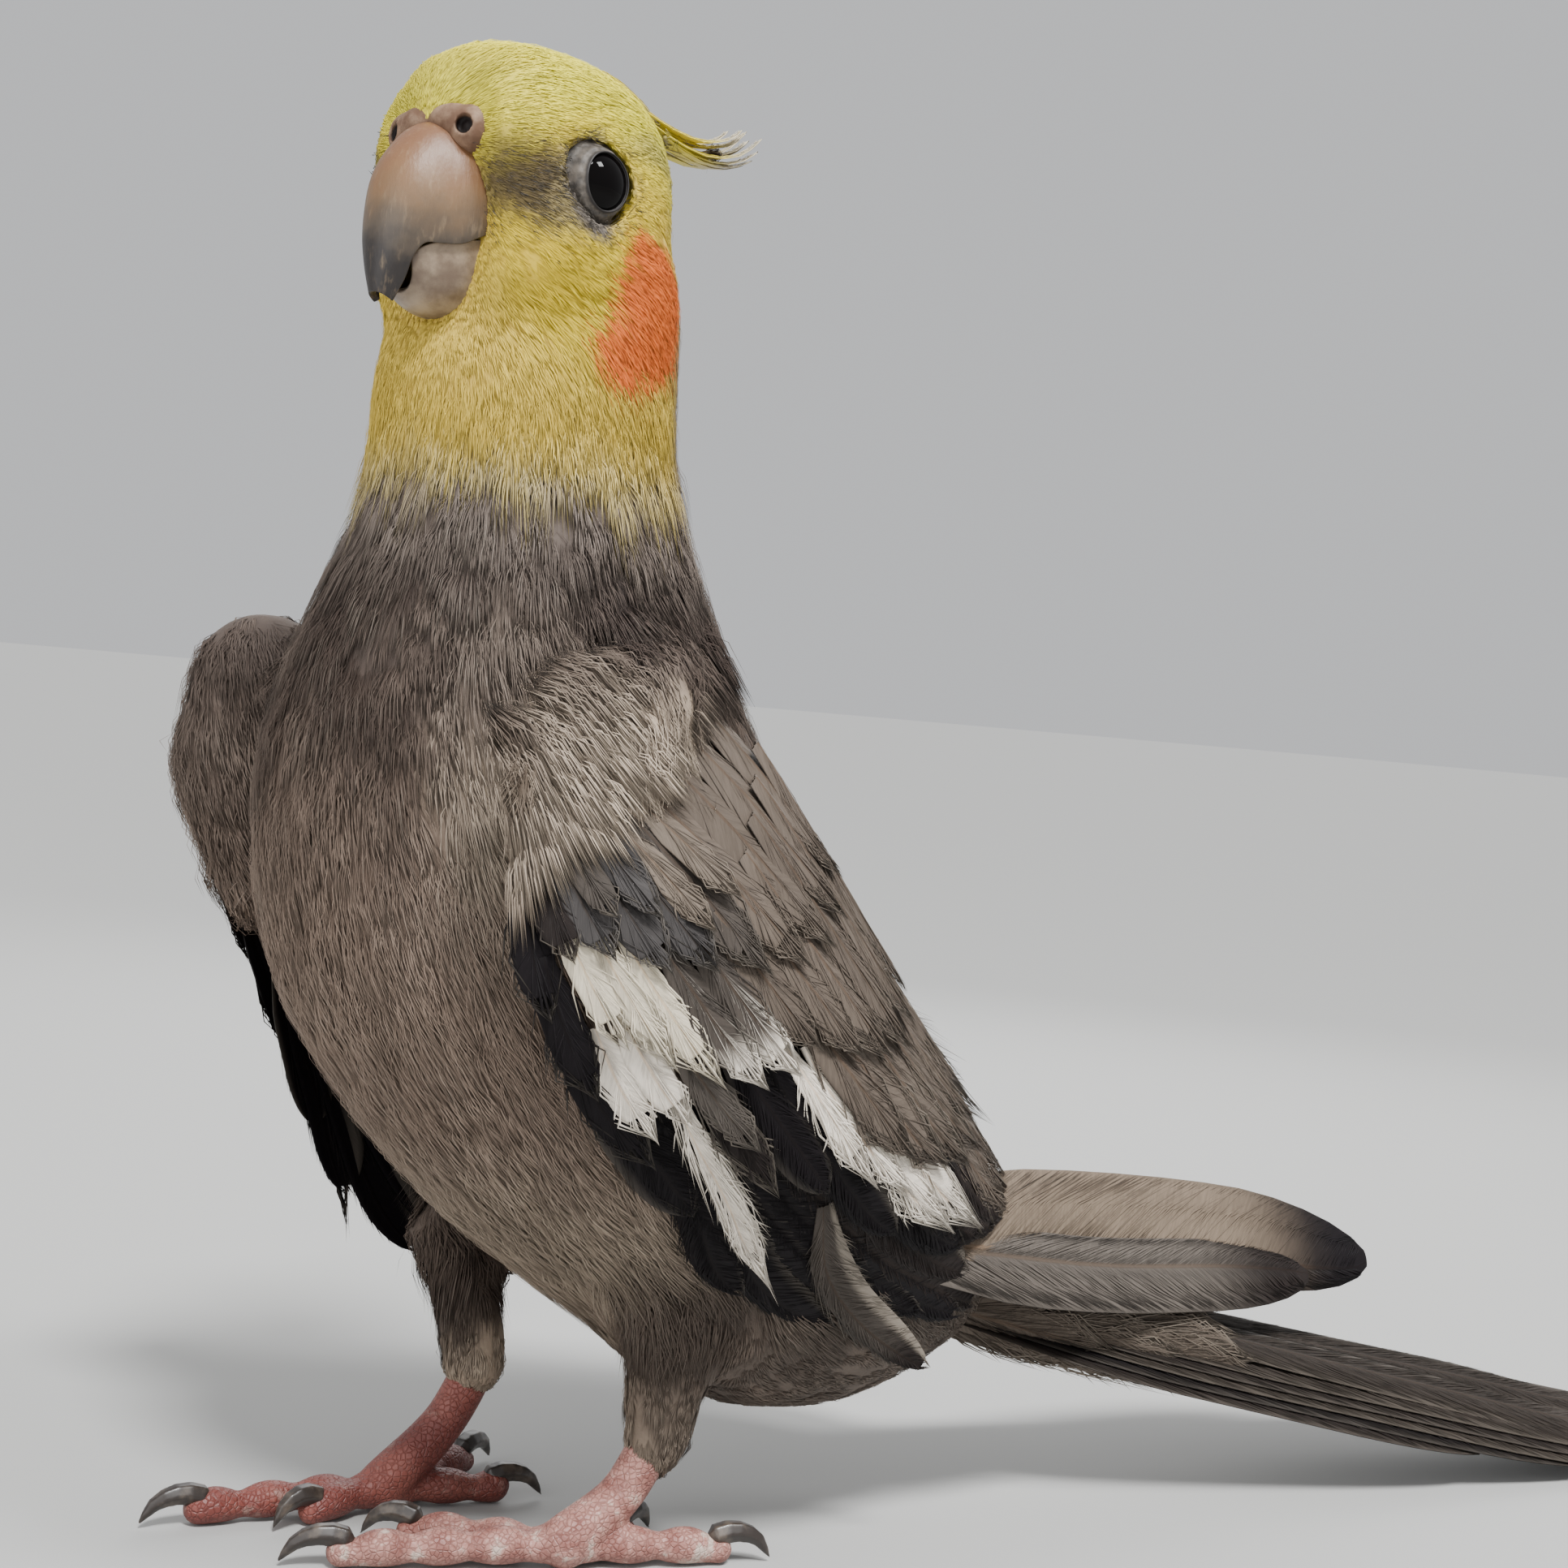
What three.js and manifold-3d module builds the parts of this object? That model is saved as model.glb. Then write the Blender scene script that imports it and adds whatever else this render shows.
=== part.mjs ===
// A cockatiel standing at rest, life size, in millimetres. It faces -Y, its left side is +X, and +Z is up.
// The body is drawn as one smooth form and parted with thin cuts into head, neck and torso; wings, tail and
// legs are set on it from the same sizes. Feathers are thin blades with a quill line, overlapping in tiers.
import * as THREE from "three";
import { mergeVertices } from "three/addons/utils/BufferGeometryUtils.js";
import Module from "manifold-3d";

const wasm = await Module();
wasm.setup();

const GAP = 0.3; // between neighbouring pieces
const DEG = Math.PI / 180;
const V = (x, y, z) => new THREE.Vector3(x, y, z);
const lerp = THREE.MathUtils.lerp;
const clamp = THREE.MathUtils.clamp;

// ---------------------------------------------------------------- driving sizes
const HEAD = V(1.5, -8, 134); // middle of the head
const HEAD_YAW = 17 * DEG; // the head is turned towards the bird's left
const HEAD_RADII = V(14.6, 15.2, 15.7); // across, along, up
const HEAD_BACK = 0.1; // the braincase sits this far behind the middle
const HEAD_SQUARE = 2.45; // fuller than an ellipsoid

const EYE = V(10.3, -1.2, 1.5); // centre of the left eyeball, in the head's frame
const EYE_RADIUS = 4.3;
const EYE_OPENING = 3.1; // radius of the opening between the lids
const EYE_FORWARD = 7 * DEG; // the eyes look sideways and this much forwards

const NOSTRIL = V(4.2, -10.2, 5.0); // middle of the left half of the cere
const NOSTRIL_RADIUS = 0.85;

// Stations of the body from vent to nape: back line (y, z), breast line (y, z), half-width, turn in degrees.
const BODY_TAIL_END = V(0, 62, 24.5);
const BODY_STATIONS = [
  [60, 31, 56, 17, 9, 0],
  [57, 36, 46, 13.5, 14, 0],
  [53, 42, 34, 11.5, 19, 0],
  [48, 49, 20, 14.5, 23, 0],
  [43, 55, 8, 23.5, 25.5, 1],
  [37, 62, -4, 31.5, 27, 2],
  [32.5, 69.5, -15, 42, 27.5, 4],
  [27.5, 76.5, -24, 54, 27, 5],
  [23, 84, -28, 67, 26, 6],
  [19.2, 91, -28.5, 79, 23.5, 7],
  [15.8, 98, -25.5, 91, 20.5, 8],
  [12.8, 105, -21, 102, 17.3, 10],
  [10.8, 112, -20.2, 112, 15.7, 12],
  [9.7, 119.5, -19.6, 119.5, 15.4, 14],
  [8.7, 126, -15.5, 125, 14.7, 16],
  [6.2, 132, -11, 131, 13, 17],
];
const BODY_HEAD_END = V(1.5, -3, 138);
const NECK_LEAN = 1.2; // the neck's middle stands this far to the left at the head
const TORSO_TOP = { at: V(0, -4, 96.5), tilt: -14 * DEG }; // cut between torso and neck
const NECK_TOP = { at: V(0, -5, 117.5), tilt: 12 * DEG }; // cut between neck and head

// ---------------------------------------------------------------- solids
// A closed geometry as a solid; one whose faces point inwards, such as a mirror image, is turned round.
function solid(geometry) {
  const bare = geometry.clone();
  bare.deleteAttribute("normal");
  bare.deleteAttribute("uv");
  const merged = mergeVertices(bare, 1e-4);
  const vertProperties = merged.attributes.position.array;
  const triVerts = new Uint32Array(merged.index.array);
  const made = new wasm.Manifold(new wasm.Mesh({ numProp: 3, vertProperties, triVerts }));
  if (made.volume() > 0) return made;
  for (let i = 0; i < triVerts.length; i += 3)
    [triVerts[i + 1], triVerts[i + 2]] = [triVerts[i + 2], triVerts[i + 1]];
  return new wasm.Manifold(new wasm.Mesh({ numProp: 3, vertProperties, triVerts }));
}

function geometryOf(manifold) {
  const mesh = manifold.getMesh();
  const geometry = new THREE.BufferGeometry();
  geometry.setAttribute("position", new THREE.BufferAttribute(mesh.vertProperties, 3));
  geometry.setIndex(new THREE.BufferAttribute(mesh.triVerts, 1));
  geometry.computeVertexNormals();
  return geometry;
}

const largest = (manifold) =>
  manifold.decompose().reduce((best, body) => (body.volume() > best.volume() ? body : best));

const join = (pieces) => pieces.reduce((sum, piece) => sum.add(piece));

// A sphere whose rings are laid on a path: place(t, angle, size) gives each point, size is 0 at both ends.
function loft(around, along, place) {
  const sphere = new THREE.SphereGeometry(1, around, along);
  const position = sphere.attributes.position;
  for (let i = 0; i < position.count; i++) {
    const t = Math.acos(clamp(position.getY(i), -1, 1)) / Math.PI;
    const angle = Math.atan2(position.getZ(i), -position.getX(i));
    position.setXYZ(i, ...place(t, angle, Math.sin(t * Math.PI) < 1e-6 ? 0 : 1).toArray());
  }
  return sphere;
}

// A row of numbers between stations, read smoothly at t from 0 to 1.
function between(rows, t) {
  const x = clamp(t, 0, 1) * (rows.length - 1);
  const i = Math.min(Math.floor(x), rows.length - 2);
  const row = (k) => rows[clamp(k, 0, rows.length - 1)];
  const f = x - i;
  return rows[0].map((_, k) => {
    const [a, b, c, d] = [row(i - 1)[k], row(i)[k], row(i + 1)[k], row(i + 2)[k]];
    const m0 = (c - a) / 2,
      m1 = (d - b) / 2;
    return (
      (2 * f ** 3 - 3 * f ** 2 + 1) * b +
      (f ** 3 - 2 * f ** 2 + f) * m0 +
      (-2 * f ** 3 + 3 * f ** 2) * c +
      (f ** 3 - f ** 2) * m1
    );
  });
}

// A round limb along points, with a radius at each.
function limb(points, radii, around, along, grow = 0) {
  const curve = new THREE.CatmullRomCurve3(points);
  const side = V(0, 0, 0);
  return loft(around, along, (t, angle, size) => {
    const centre = curve.getPoint(t);
    const ahead = curve.getTangent(t);
    side.set(-ahead.y, ahead.x, 0);
    if (side.lengthSq() < 1e-4) side.set(1, 0, 0);
    side.normalize();
    const up = ahead.clone().cross(side).normalize();
    const r = size * (between(radii.map((v) => [v]), t)[0] + grow);
    return centre.addScaledVector(side, r * Math.cos(angle)).addScaledVector(up, r * Math.sin(angle));
  });
}

// A closed thin piece: two plane grids split alike, joined round the rim. place(u, v, face) gives each point.
function blade(cellsU, cellsV, place) {
  const plane = new THREE.PlaneGeometry(1, 1, cellsU, cellsV);
  const grid = plane.attributes.position;
  const faces = plane.index.array;
  const count = grid.count;
  const points = new Float32Array(count * 6);
  for (let i = 0; i < count; i++) {
    const u = grid.getX(i) + 0.5,
      v = 0.5 - grid.getY(i);
    place(u, v, 1).toArray(points, i * 3);
    place(u, v, -1).toArray(points, (count + i) * 3);
  }
  const index = [...faces];
  for (let i = 0; i < faces.length; i += 3)
    index.push(faces[i] + count, faces[i + 2] + count, faces[i + 1] + count);
  const row = cellsU + 1;
  const rim = [];
  for (let i = 0; i < cellsU; i++) rim.push(i);
  for (let j = 0; j < cellsV; j++) rim.push(j * row + cellsU);
  for (let i = cellsU; i > 0; i--) rim.push(cellsV * row + i);
  for (let j = cellsV; j > 0; j--) rim.push(j * row);
  rim.forEach((a, k) => {
    const b = rim[(k + 1) % rim.length];
    index.push(a, b, b + count, a, b + count, a + count);
  });
  const geometry = new THREE.BufferGeometry();
  geometry.setAttribute("position", new THREE.BufferAttribute(points, 3));
  geometry.setIndex(index);
  return solid(geometry);
}

// The half of space below a tilted cut, as a large block.
function halfBelow({ at, tilt }, shift) {
  const size = 400;
  const box = new THREE.BoxGeometry(size, size, size);
  box.translate(0, 0, -size / 2 + shift);
  box.rotateX(tilt);
  box.translate(at.x, at.y, at.z);
  return solid(box);
}

// ---------------------------------------------------------------- body and head
function bodyForm(grow) {
  return loft(24, 26, (t, angle, size) => {
    if (!size) return (t < 0.5 ? BODY_TAIL_END : BODY_HEAD_END).clone();
    const [yd, zd, yv, zv, half, turn] = between(BODY_STATIONS, (t - 1 / 26) / (1 - 2 / 26));
    const yaw = turn * DEG;
    const high = clamp((zd - 90) / 40, 0, 1) * NECK_LEAN;
    const spread = V(0, (yd - yv) / 2, (zd - zv) / 2);
    const depth = spread.length() + grow;
    spread.setLength(depth).applyAxisAngle(V(0, 0, 1), yaw);
    const centre = V(high, (yd + yv) / 2, (zd + zv) / 2);
    const full = (v) => Math.sign(v) * Math.abs(v) ** 0.94;
    return centre
      .addScaledVector(V(Math.cos(yaw), Math.sin(yaw), 0), (half + grow) * full(Math.cos(angle)))
      .addScaledVector(spread, full(Math.sin(angle)));
  });
}

const toHead = (point) => point.clone().applyAxisAngle(V(0, 0, 1), HEAD_YAW).add(HEAD);

function headForm(grow) {
  const swell = [
    // direction, height, reach in degrees, how steeply it ends
    [V(0, -1, -0.28), -5.4, 31, 4], // the face round the bill
    [V(0, -1, 0.36), -4.2, 26, 4], // the seat of the cere
    [V(0.55, -0.8, -0.12), -2.2, 22, 2], // hollows between bill and eyes
    [V(-0.55, -0.8, -0.12), -2.2, 22, 2],
    [V(0.78, -0.12, -0.5), 0.9, 32, 2], // cheeks
    [V(-0.78, -0.12, -0.5), 0.9, 32, 2],
    [V(0.95, -0.1, 0.14), -1.3, 20, 2], // round the eyes
    [V(-0.95, -0.1, 0.14), -1.3, 20, 2],
  ].map(([direction, height, reach, edge]) => [direction.normalize(), height, reach * DEG, edge]);
  const sphere = new THREE.SphereGeometry(1, 28, 18);
  sphere.rotateX(Math.PI / 2);
  const position = sphere.attributes.position;
  const direction = V(0, 0, 0);
  for (let i = 0; i < position.count; i++) {
    direction.fromBufferAttribute(position, i).normalize();
    const sum =
      Math.abs(direction.x / HEAD_RADII.x) ** HEAD_SQUARE +
      Math.abs(direction.y / HEAD_RADII.y) ** HEAD_SQUARE +
      Math.abs(direction.z / HEAD_RADII.z) ** HEAD_SQUARE;
    let radius = sum ** (-1 / HEAD_SQUARE) + grow;
    for (const [towards, height, reach, edge] of swell)
      radius += height * Math.exp(-((direction.angleTo(towards) / reach) ** edge));
    const point = direction.clone().multiplyScalar(radius);
    point.y += HEAD_BACK;
    position.setXYZ(i, ...toHead(point).toArray());
  }
  return sphere;
}

const body = solid(bodyForm(0));
const bodyRoom = solid(bodyForm(GAP));
const skull = solid(headForm(0));
const headRoom = solid(headForm(GAP));
const fleshRoom = bodyRoom.add(headRoom);
const flesh = body.add(skull);

// A closed form along the bill: rows of upper line (f, u), lower line (f, u) and half-width, forwards and up
// from the middle of the head; the top is drawn in to a ridge.
function billForm(rows, start, end, ridge, grow) {
  return loft(14, 12, (t, angle, size) => {
    if (!size) {
      const [f, u] = t < 0.5 ? start : end;
      return toHead(V(0, -f, u));
    }
    const [f1, u1, f2, u2, half] = between(rows, (t - 1 / 12) / (1 - 2 / 12));
    const axis = V(0, -(f1 - f2) / 2, (u1 - u2) / 2);
    axis.setLength(axis.length() + grow);
    const c = Math.cos(angle),
      s = Math.sin(angle);
    const width = (half + grow) * (1 - ridge * Math.max(0, s) ** 2);
    return toHead(
      V(width * c, -(f1 + f2) / 2, (u1 + u2) / 2).addScaledVector(axis, s),
    );
  });
}
const UPPER_BILL = [
  [8, 5.1, 6, -4.0, 6],
  [12.4, 5.0, 9, -4.8, 5.8],
  [14.6, 3.2, 11.3, -5.6, 5.1],
  [16.2, 0.7, 13, -5.6, 4.4],
  [16.8, -2.4, 14.3, -6.4, 3.8],
  [17.1, -5.5, 15, -8.0, 3.0],
  [17, -8.4, 15.2, -9.5, 2.0],
  [16.6, -10.6, 15.4, -10.9, 1.0],
];
const LOWER_BILL = [
  [6, -4.2, 5, -11.3, 6],
  [9, -4.5, 7.4, -12.3, 6],
  [11.8, -5.8, 10, -12.4, 5],
  [13.8, -7.0, 12, -11.8, 3.5],
  [14.8, -8.4, 13.6, -10.8, 2],
];
const upperBill = solid(billForm(UPPER_BILL, [5, 1], [16.2, -11.8], 0.35, 0));
const upperBillRoom = solid(billForm(UPPER_BILL, [5, 1], [16.2, -12.2], 0.35, GAP));
const lowerBill = solid(billForm(LOWER_BILL, [4, -8], [15.1, -9.6], 0, 0)).subtract(upperBillRoom);

function ball(centre, radii, around = 9, along = 6) {
  const sphere = new THREE.SphereGeometry(1, around, along);
  sphere.scale(radii.x, radii.y, radii.z);
  sphere.rotateZ(HEAD_YAW);
  sphere.translate(...toHead(centre).toArray());
  return solid(sphere);
}

// The swollen bare ring above the bill, with a nostril in each half.
const sides = [1, -1];
const cere = largest(
  join([
    ball(V(0, -11, 5.9), V(5, 2.3, 1.8)),
    ...sides.map((s) => ball(V(s * NOSTRIL.x, NOSTRIL.y, NOSTRIL.z), V(2.5, 2.4, 2.3))),
  ])
    .subtract(
      join(
        sides.map((s) =>
          ball(V(s * (NOSTRIL.x + 0.6), NOSTRIL.y - 2, NOSTRIL.z + 0.5), V(1, 1.8, 1).multiplyScalar(NOSTRIL_RADIUS), 8, 6),
        ),
      ),
    )
    .subtract(upperBillRoom)
    .subtract(fleshRoom),
);

// Eyes in sockets, each inside a raised ring of lid.
function eyeAxis(s) {
  return V(s * Math.cos(EYE_FORWARD), -Math.sin(EYE_FORWARD), 0.06).normalize();
}
function eyeBall(s, grow) {
  return ball(V(s * EYE.x, EYE.y, EYE.z), V(1, 1, 1).multiplyScalar(EYE_RADIUS + grow), 14, 9);
}
function lidRing(s) {
  const ring = new THREE.TorusGeometry(EYE_OPENING + 0.45, 0.8, 5, 16);
  ring.applyQuaternion(new THREE.Quaternion().setFromUnitVectors(V(0, 0, 1), eyeAxis(s)));
  const depth = Math.sqrt(EYE_RADIUS ** 2 - EYE_OPENING ** 2);
  const centre = V(s * EYE.x, EYE.y, EYE.z).addScaledVector(eyeAxis(s), depth);
  ring.translate(centre.x, centre.y, centre.z);
  ring.rotateZ(HEAD_YAW);
  ring.translate(HEAD.x, HEAD.y, HEAD.z);
  return solid(ring);
}

const torso = largest(flesh.intersect(halfBelow(TORSO_TOP, -GAP / 2)));
const neck = largest(flesh.intersect(halfBelow(NECK_TOP, -GAP / 2)).subtract(halfBelow(TORSO_TOP, GAP / 2)));

// ---------------------------------------------------------------- crest
// The line over the crown that the crest follows, forwards and up from the head's middle; the longest feathers
// reach its end, thin and curled up. Each feather: where it starts and ends on the line, and how far to the side.
const CREST_LINE = new THREE.CatmullRomCurve3(
  [[9, 13.4], [2, 15.7], [-6, 15.6], [-13, 13.7], [-19, 11.6], [-25, 10.6], [-30, 11.6], [-34, 14.2]].map(([f, u]) =>
    V(0, -f, u),
  ),
);
const CREST = [
  [0.16, 0.98, 0], [0.12, 0.88, 1.9], [0.14, 0.92, -1.7], [0.1, 0.72, 3.6], [0.1, 0.68, -3.6],
  [0.02, 0.52, 1.2], [0.02, 0.5, -1.4], [0.08, 0.48, 5.2], [0.08, 0.48, -5.2],
];
const crest = CREST.map(([from, to, aside], i) =>
  blade(1, 3, (u, v, face) => {
    const t = lerp(from, to, v ** 1.2);
    const point = CREST_LINE.getPointAt(t);
    const ahead = CREST_LINE.getTangentAt(t);
    const up = V(0, -ahead.z, ahead.y);
    const half = lerp(1.8, 0.3, v ** 0.8);
    const lift = -1.6 + (i < 5 ? 1.5 : 2.5) * Math.min(1, v * 2.5) - Math.abs(aside) * 0.25;
    point.addScaledVector(up, lift + face * lerp(0.4, 0.2, v));
    point.x += aside * lerp(1.2, 0.55, v) + (u * 2 - 1) * half;
    return toHead(point);
  }),
);

let head = flesh.subtract(halfBelow(NECK_TOP, GAP / 2));
head = join([head, ...crest, ...sides.map(lidRing)]);
head = largest(head.subtract(join(sides.map((s) => eyeBall(s, GAP)))));

// ---------------------------------------------------------------- legs and feet
// Each foot: where the toes meet, the hock, the feathered shank from the thigh down to the hock with its radii, then
// the toes (heading in degrees from straight ahead towards the bird's left, length to the claw's root, claw length).
const FEET = {
  left: {
    ball: V(10.8, 5.1, 0),
    hock: V(10.9, 14.4, 8.2),
    shank: [[V(14, 14, 36), 6.8], [V(12.6, 14.2, 23.5), 5.6], [V(10.9, 14.9, 14.2), 4.3], [V(10.9, 14.4, 9), 3.6]],
    toes: [
      ["outer_front", -19, 21.5, 7],
      ["inner_front", -42, 15.5, 6],
      ["outer_rear", 165, 15.5, 6.5],
      ["inner_rear", 205, 9.5, 5.5],
    ],
  },
  right: {
    ball: V(-10.8, -5.1, 0),
    hock: V(-9.8, 5, 10),
    shank: [[V(-17, 0.5, 34), 6.8], [V(-12.7, 2.8, 24), 4.7], [V(-10.2, 3.6, 17), 4.1], [V(-9.9, 4.6, 10.8), 3.6]],
    toes: [
      ["outer_front", -4, 19, 7],
      ["inner_front", 14, 8.5, 5.5],
      ["inner_rear", 172, 11.5, 6.5],
      ["outer_rear", 212, 15, 6.5],
    ],
  },
};
const TOE_RADIUS = 1.75;
const shank = (foot, grow) =>
  solid(limb(foot.shank.map(([point]) => point), foot.shank.map(([, radius]) => radius), 12, 8, grow));
const shankRoom = join(Object.values(FEET).map((foot) => shank(foot, GAP)));

// ---------------------------------------------------------------- wings
// Each folded wing lies on three lines from the wrist to the tips: leading edge, middle and back edge.
// The left hangs a little; the right is held forwards and steeper. outward is the side away from the body.
const WINGS = {
  left: {
    outward: 1,
    lines: [
      [V(31, -17, 73), V(31, -15.2, 61), V(30, -9, 50.5), V(27.5, 5.5, 39.5), V(24, 18, 31), V(20, 39, 23)],
      [V(28.5, -8, 85), V(31.5, 3, 73), V(31.5, 13.5, 61.5), V(29, 25, 50.5), V(24.5, 37, 40.5), V(16, 52, 31)],
      [V(12, 14, 94), V(12, 19, 85), V(10.5, 27, 73.5), V(8.5, 37.5, 61), V(6.5, 48, 50), V(4.5, 58, 40)],
    ],
    shoulder: [V(12, 6, 90), V(20, 1, 87), V(27, -4, 81)],
  },
  right: {
    outward: -1,
    lines: [
      [V(-31, -25, 80), V(-30, -22.5, 67), V(-28, -17, 53), V(-25, -11.5, 39.5), V(-21, -7, 27), V(-17, 1, 18)],
      [V(-26, -19, 92), V(-31, -9, 80), V(-31, 3, 67), V(-29, 14, 54), V(-24, 28, 42), V(-16, 45, 31)],
      [V(-11, 11, 97), V(-12, 19, 87), V(-10.5, 31, 75), V(-8.5, 47, 64), V(-6, 63, 55), V(-5.5, 77, 44)],
    ],
    shoulder: [V(-12, 2, 91), V(-19, -6, 90), V(-26, -14, 87)],
  },
};
for (const wing of Object.values(WINGS)) wing.curves = wing.lines.map((line) => new THREE.CatmullRomCurve3(line));

// A point of the folded wing: u from leading to back edge, v from wrist to tips, and straight on beyond them.
function wingPoint(wing, u, v) {
  const [a, b, c] = wing.curves.map((curve) => {
    if (v >= 0 && v <= 1) return curve.getPoint(v);
    const end = v < 0 ? 0 : 1;
    const step = curve.getPoint(end).sub(curve.getPoint(end ? 0.97 : 0.03));
    return curve.getPoint(end).addScaledVector(step, Math.abs(v - end) / 0.03);
  });
  const weights = [(1 - u) * (1 - 2 * u), 4 * u * (1 - u), u * (2 * u - 1)];
  return a.multiplyScalar(weights[0]).addScaledVector(b, weights[1]).addScaledVector(c, weights[2]);
}
function wingNormal(wing, u, v) {
  const e = 0.01;
  const du = wingPoint(wing, u + e, v).sub(wingPoint(wing, u - e, v));
  const dv = wingPoint(wing, u, v + e).sub(wingPoint(wing, u, v - e));
  return dv.cross(du).normalize().multiplyScalar(wing.outward);
}

const QUILL = 0.35; // the blade is this much thicker along its quill
// How wide a feather is along its length, as a part of its widest; square gives a cut or moulted end.
function featherWidth(s, square) {
  const root = Math.min(1, 0.45 + 1.5 * s);
  const end = s < 0.75 ? 1 : Math.sqrt(1 - ((s - 0.75) / 0.25) ** 2 * (square ? 0.35 : 0.9));
  return root * end;
}
// A feather from its middle line: middle(s) gives its point, its outward normal and its direction at s.
function feather(middle, half, { cells = 4, thick = 0.6, tilt = 0, square = false, columns = 2 }) {
  return blade(columns, cells, (u, v, face) => {
    const s = 1 - (1 - v) ** 1.4;
    const { point, normal, ahead } = middle(s);
    const c = u * 2 - 1;
    const side = ahead.clone().cross(normal).normalize();
    const rise = tilt * c + (1 - c * c) * QUILL * (1 - s) + (face * thick * lerp(1, 0.7, s)) / 2;
    return point.addScaledVector(side, c * half * featherWidth(s, square)).addScaledVector(normal, rise);
  });
}
// A feather lying on the folded wing, from (u, v) to (u, v), lifted off the wing's surface at root and tip.
function wingFeather(wing, from, to, lift, half, options) {
  const at = (s) => wingPoint(wing, lerp(from[0], to[0], s), lerp(from[1], to[1], s));
  return feather(
    (s) => {
      const normal = wingNormal(wing, lerp(from[0], to[0], s), lerp(from[1], to[1], s));
      const ahead = at(s + 0.01).sub(at(s - 0.01)).normalize();
      return { point: at(s).addScaledVector(normal, lerp(lift[0], lift[1], s)), normal, ahead };
    },
    half,
    { ...options, tilt: -wing.outward * (options.tilt ?? 0.35) },
  );
}

// The tiers of a wing: how many feathers, where the first and the last root lie, where their tips lie, how far
// they lift off at root and tip, and half their width.
const TIERS = [
  // primaries, secondaries, tertials
  { count: 5, root: [[0.1, 0.4], [0.26, 0.46]], tip: [[0.06, 0.74], [0.34, 1.02]], lift: [-1.4, -0.9], half: 4.6, tilt: 0.8, square: true, cells: 3, columns: 1 },
  { count: 5, root: [[0.36, 0.46], [0.8, 0.44]], tip: [[0.44, 0.97], [0.8, 0.98]], lift: [-0.8, 0.3], half: 5.6, tilt: 0.6, cells: 3, columns: 1 },
  { count: 3, root: [[0.78, 0.4], [0.86, 0.36]], tip: [[0.79, 0.94], [0.86, 1.0]], lift: [0.2, 0.8], half: 4.6, tilt: 0.5, cells: 3 },
  // coverts of the hand, greater, median and lesser coverts
  { count: 3, root: [[0.08, 0.26], [0.16, 0.3]], tip: [[0.06, 0.48], [0.18, 0.64]], lift: [-0.6, 0.4], half: 4, tilt: 0.6, cells: 2, columns: 1 },
  { count: 5, root: [[0.26, 0.34], [0.86, 0.32]], tip: [[0.28, 0.66], [0.84, 0.68]], lift: [-0.6, 1.7], half: 5.8, tilt: 0.6, cells: 2, columns: 1 },
  { count: 5, root: [[0.12, 0.19], [0.86, 0.17]], tip: [[0.13, 0.43], [0.84, 0.46]], lift: [-0.4, 2.4], half: 6, tilt: 0.5, cells: 2, columns: 1 },
  { count: 5, root: [[0.12, 0.03], [0.82, 0.03]], tip: [[0.13, 0.25], [0.84, 0.28]], lift: [-0.2, 2.6], half: 5.8, tilt: 0.5, cells: 2, columns: 1 },
];
const LONG_PRIMARIES = [
  // the two outermost flight feathers of the left wing, kept at full length over the tail
  { line: [V(22, 28, 36.5), V(17, 45, 34.4), V(9.5, 70, 32), V(7.8, 95, 29.2), V(8, 118, 25)], half: 6.6 },
  { line: [V(22, 30, 34), V(18, 47, 30.8), V(13.6, 70, 27), V(11, 92, 25.2), V(10, 106, 24)], half: 4.6 },
];
const LONG_NORMAL = V(0.86, 0.1, 0.5).normalize();
const ARM_END = 0.6; // the fleshy part of the folded wing reaches this far

function wingForm(wing) {
  const arm = blade(5, 5, (u, v, face) => {
    const rounded = Math.sqrt(Math.max(0.04, 1 - (2 * u - 1) ** 4));
    const depth = lerp(5.5, 0.8, Math.min(1, v * 1.15)) * rounded;
    const [a, b] = [lerp(0.02, 0.97, u), v * ARM_END];
    return wingPoint(wing, a, b).addScaledVector(wingNormal(wing, a, b), face > 0 ? 0.9 * rounded : -depth);
  });
  const feathers = TIERS.flatMap(({ count, root, tip, lift, half, ...options }) =>
    Array.from({ length: count }, (_, i) => {
      const k = i / (count - 1);
      const mix = ([a, b]) => [lerp(a[0], b[0], k), lerp(a[1], b[1], k)];
      const vary = 0.012 * Math.sin(i * 2.4 + count);
      const [tu, tv] = mix(tip);
      return wingFeather(wing, mix(root), [tu, tv + vary], lift, half, options);
    }),
  );
  return join([arm, solid(limb(wing.shoulder, [6, 7, 5.5], 10, 6)), ...feathers]);
}
const longPrimaries = LONG_PRIMARIES.map(({ line, half }) => {
  const curve = new THREE.CatmullRomCurve3(line);
  return feather(
    (s) => ({ point: curve.getPoint(s), normal: LONG_NORMAL, ahead: curve.getTangent(s) }),
    half,
    { cells: 5 },
  );
});
// Everything on one side of the bird's middle plane, so that the two wings never cross.
function halfSpace(side) {
  const box = new THREE.BoxGeometry(400, 400, 400);
  box.translate(side * (200 + GAP / 2), 0, 0);
  return solid(box);
}
const trimmed = (form, side) =>
  largest(form.subtract(fleshRoom).subtract(shankRoom).intersect(halfSpace(side)));
const wingLeft = trimmed(join([wingForm(WINGS.left), ...longPrimaries]), 1);
const wingRight = trimmed(wingForm(WINGS.right), -1);

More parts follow.
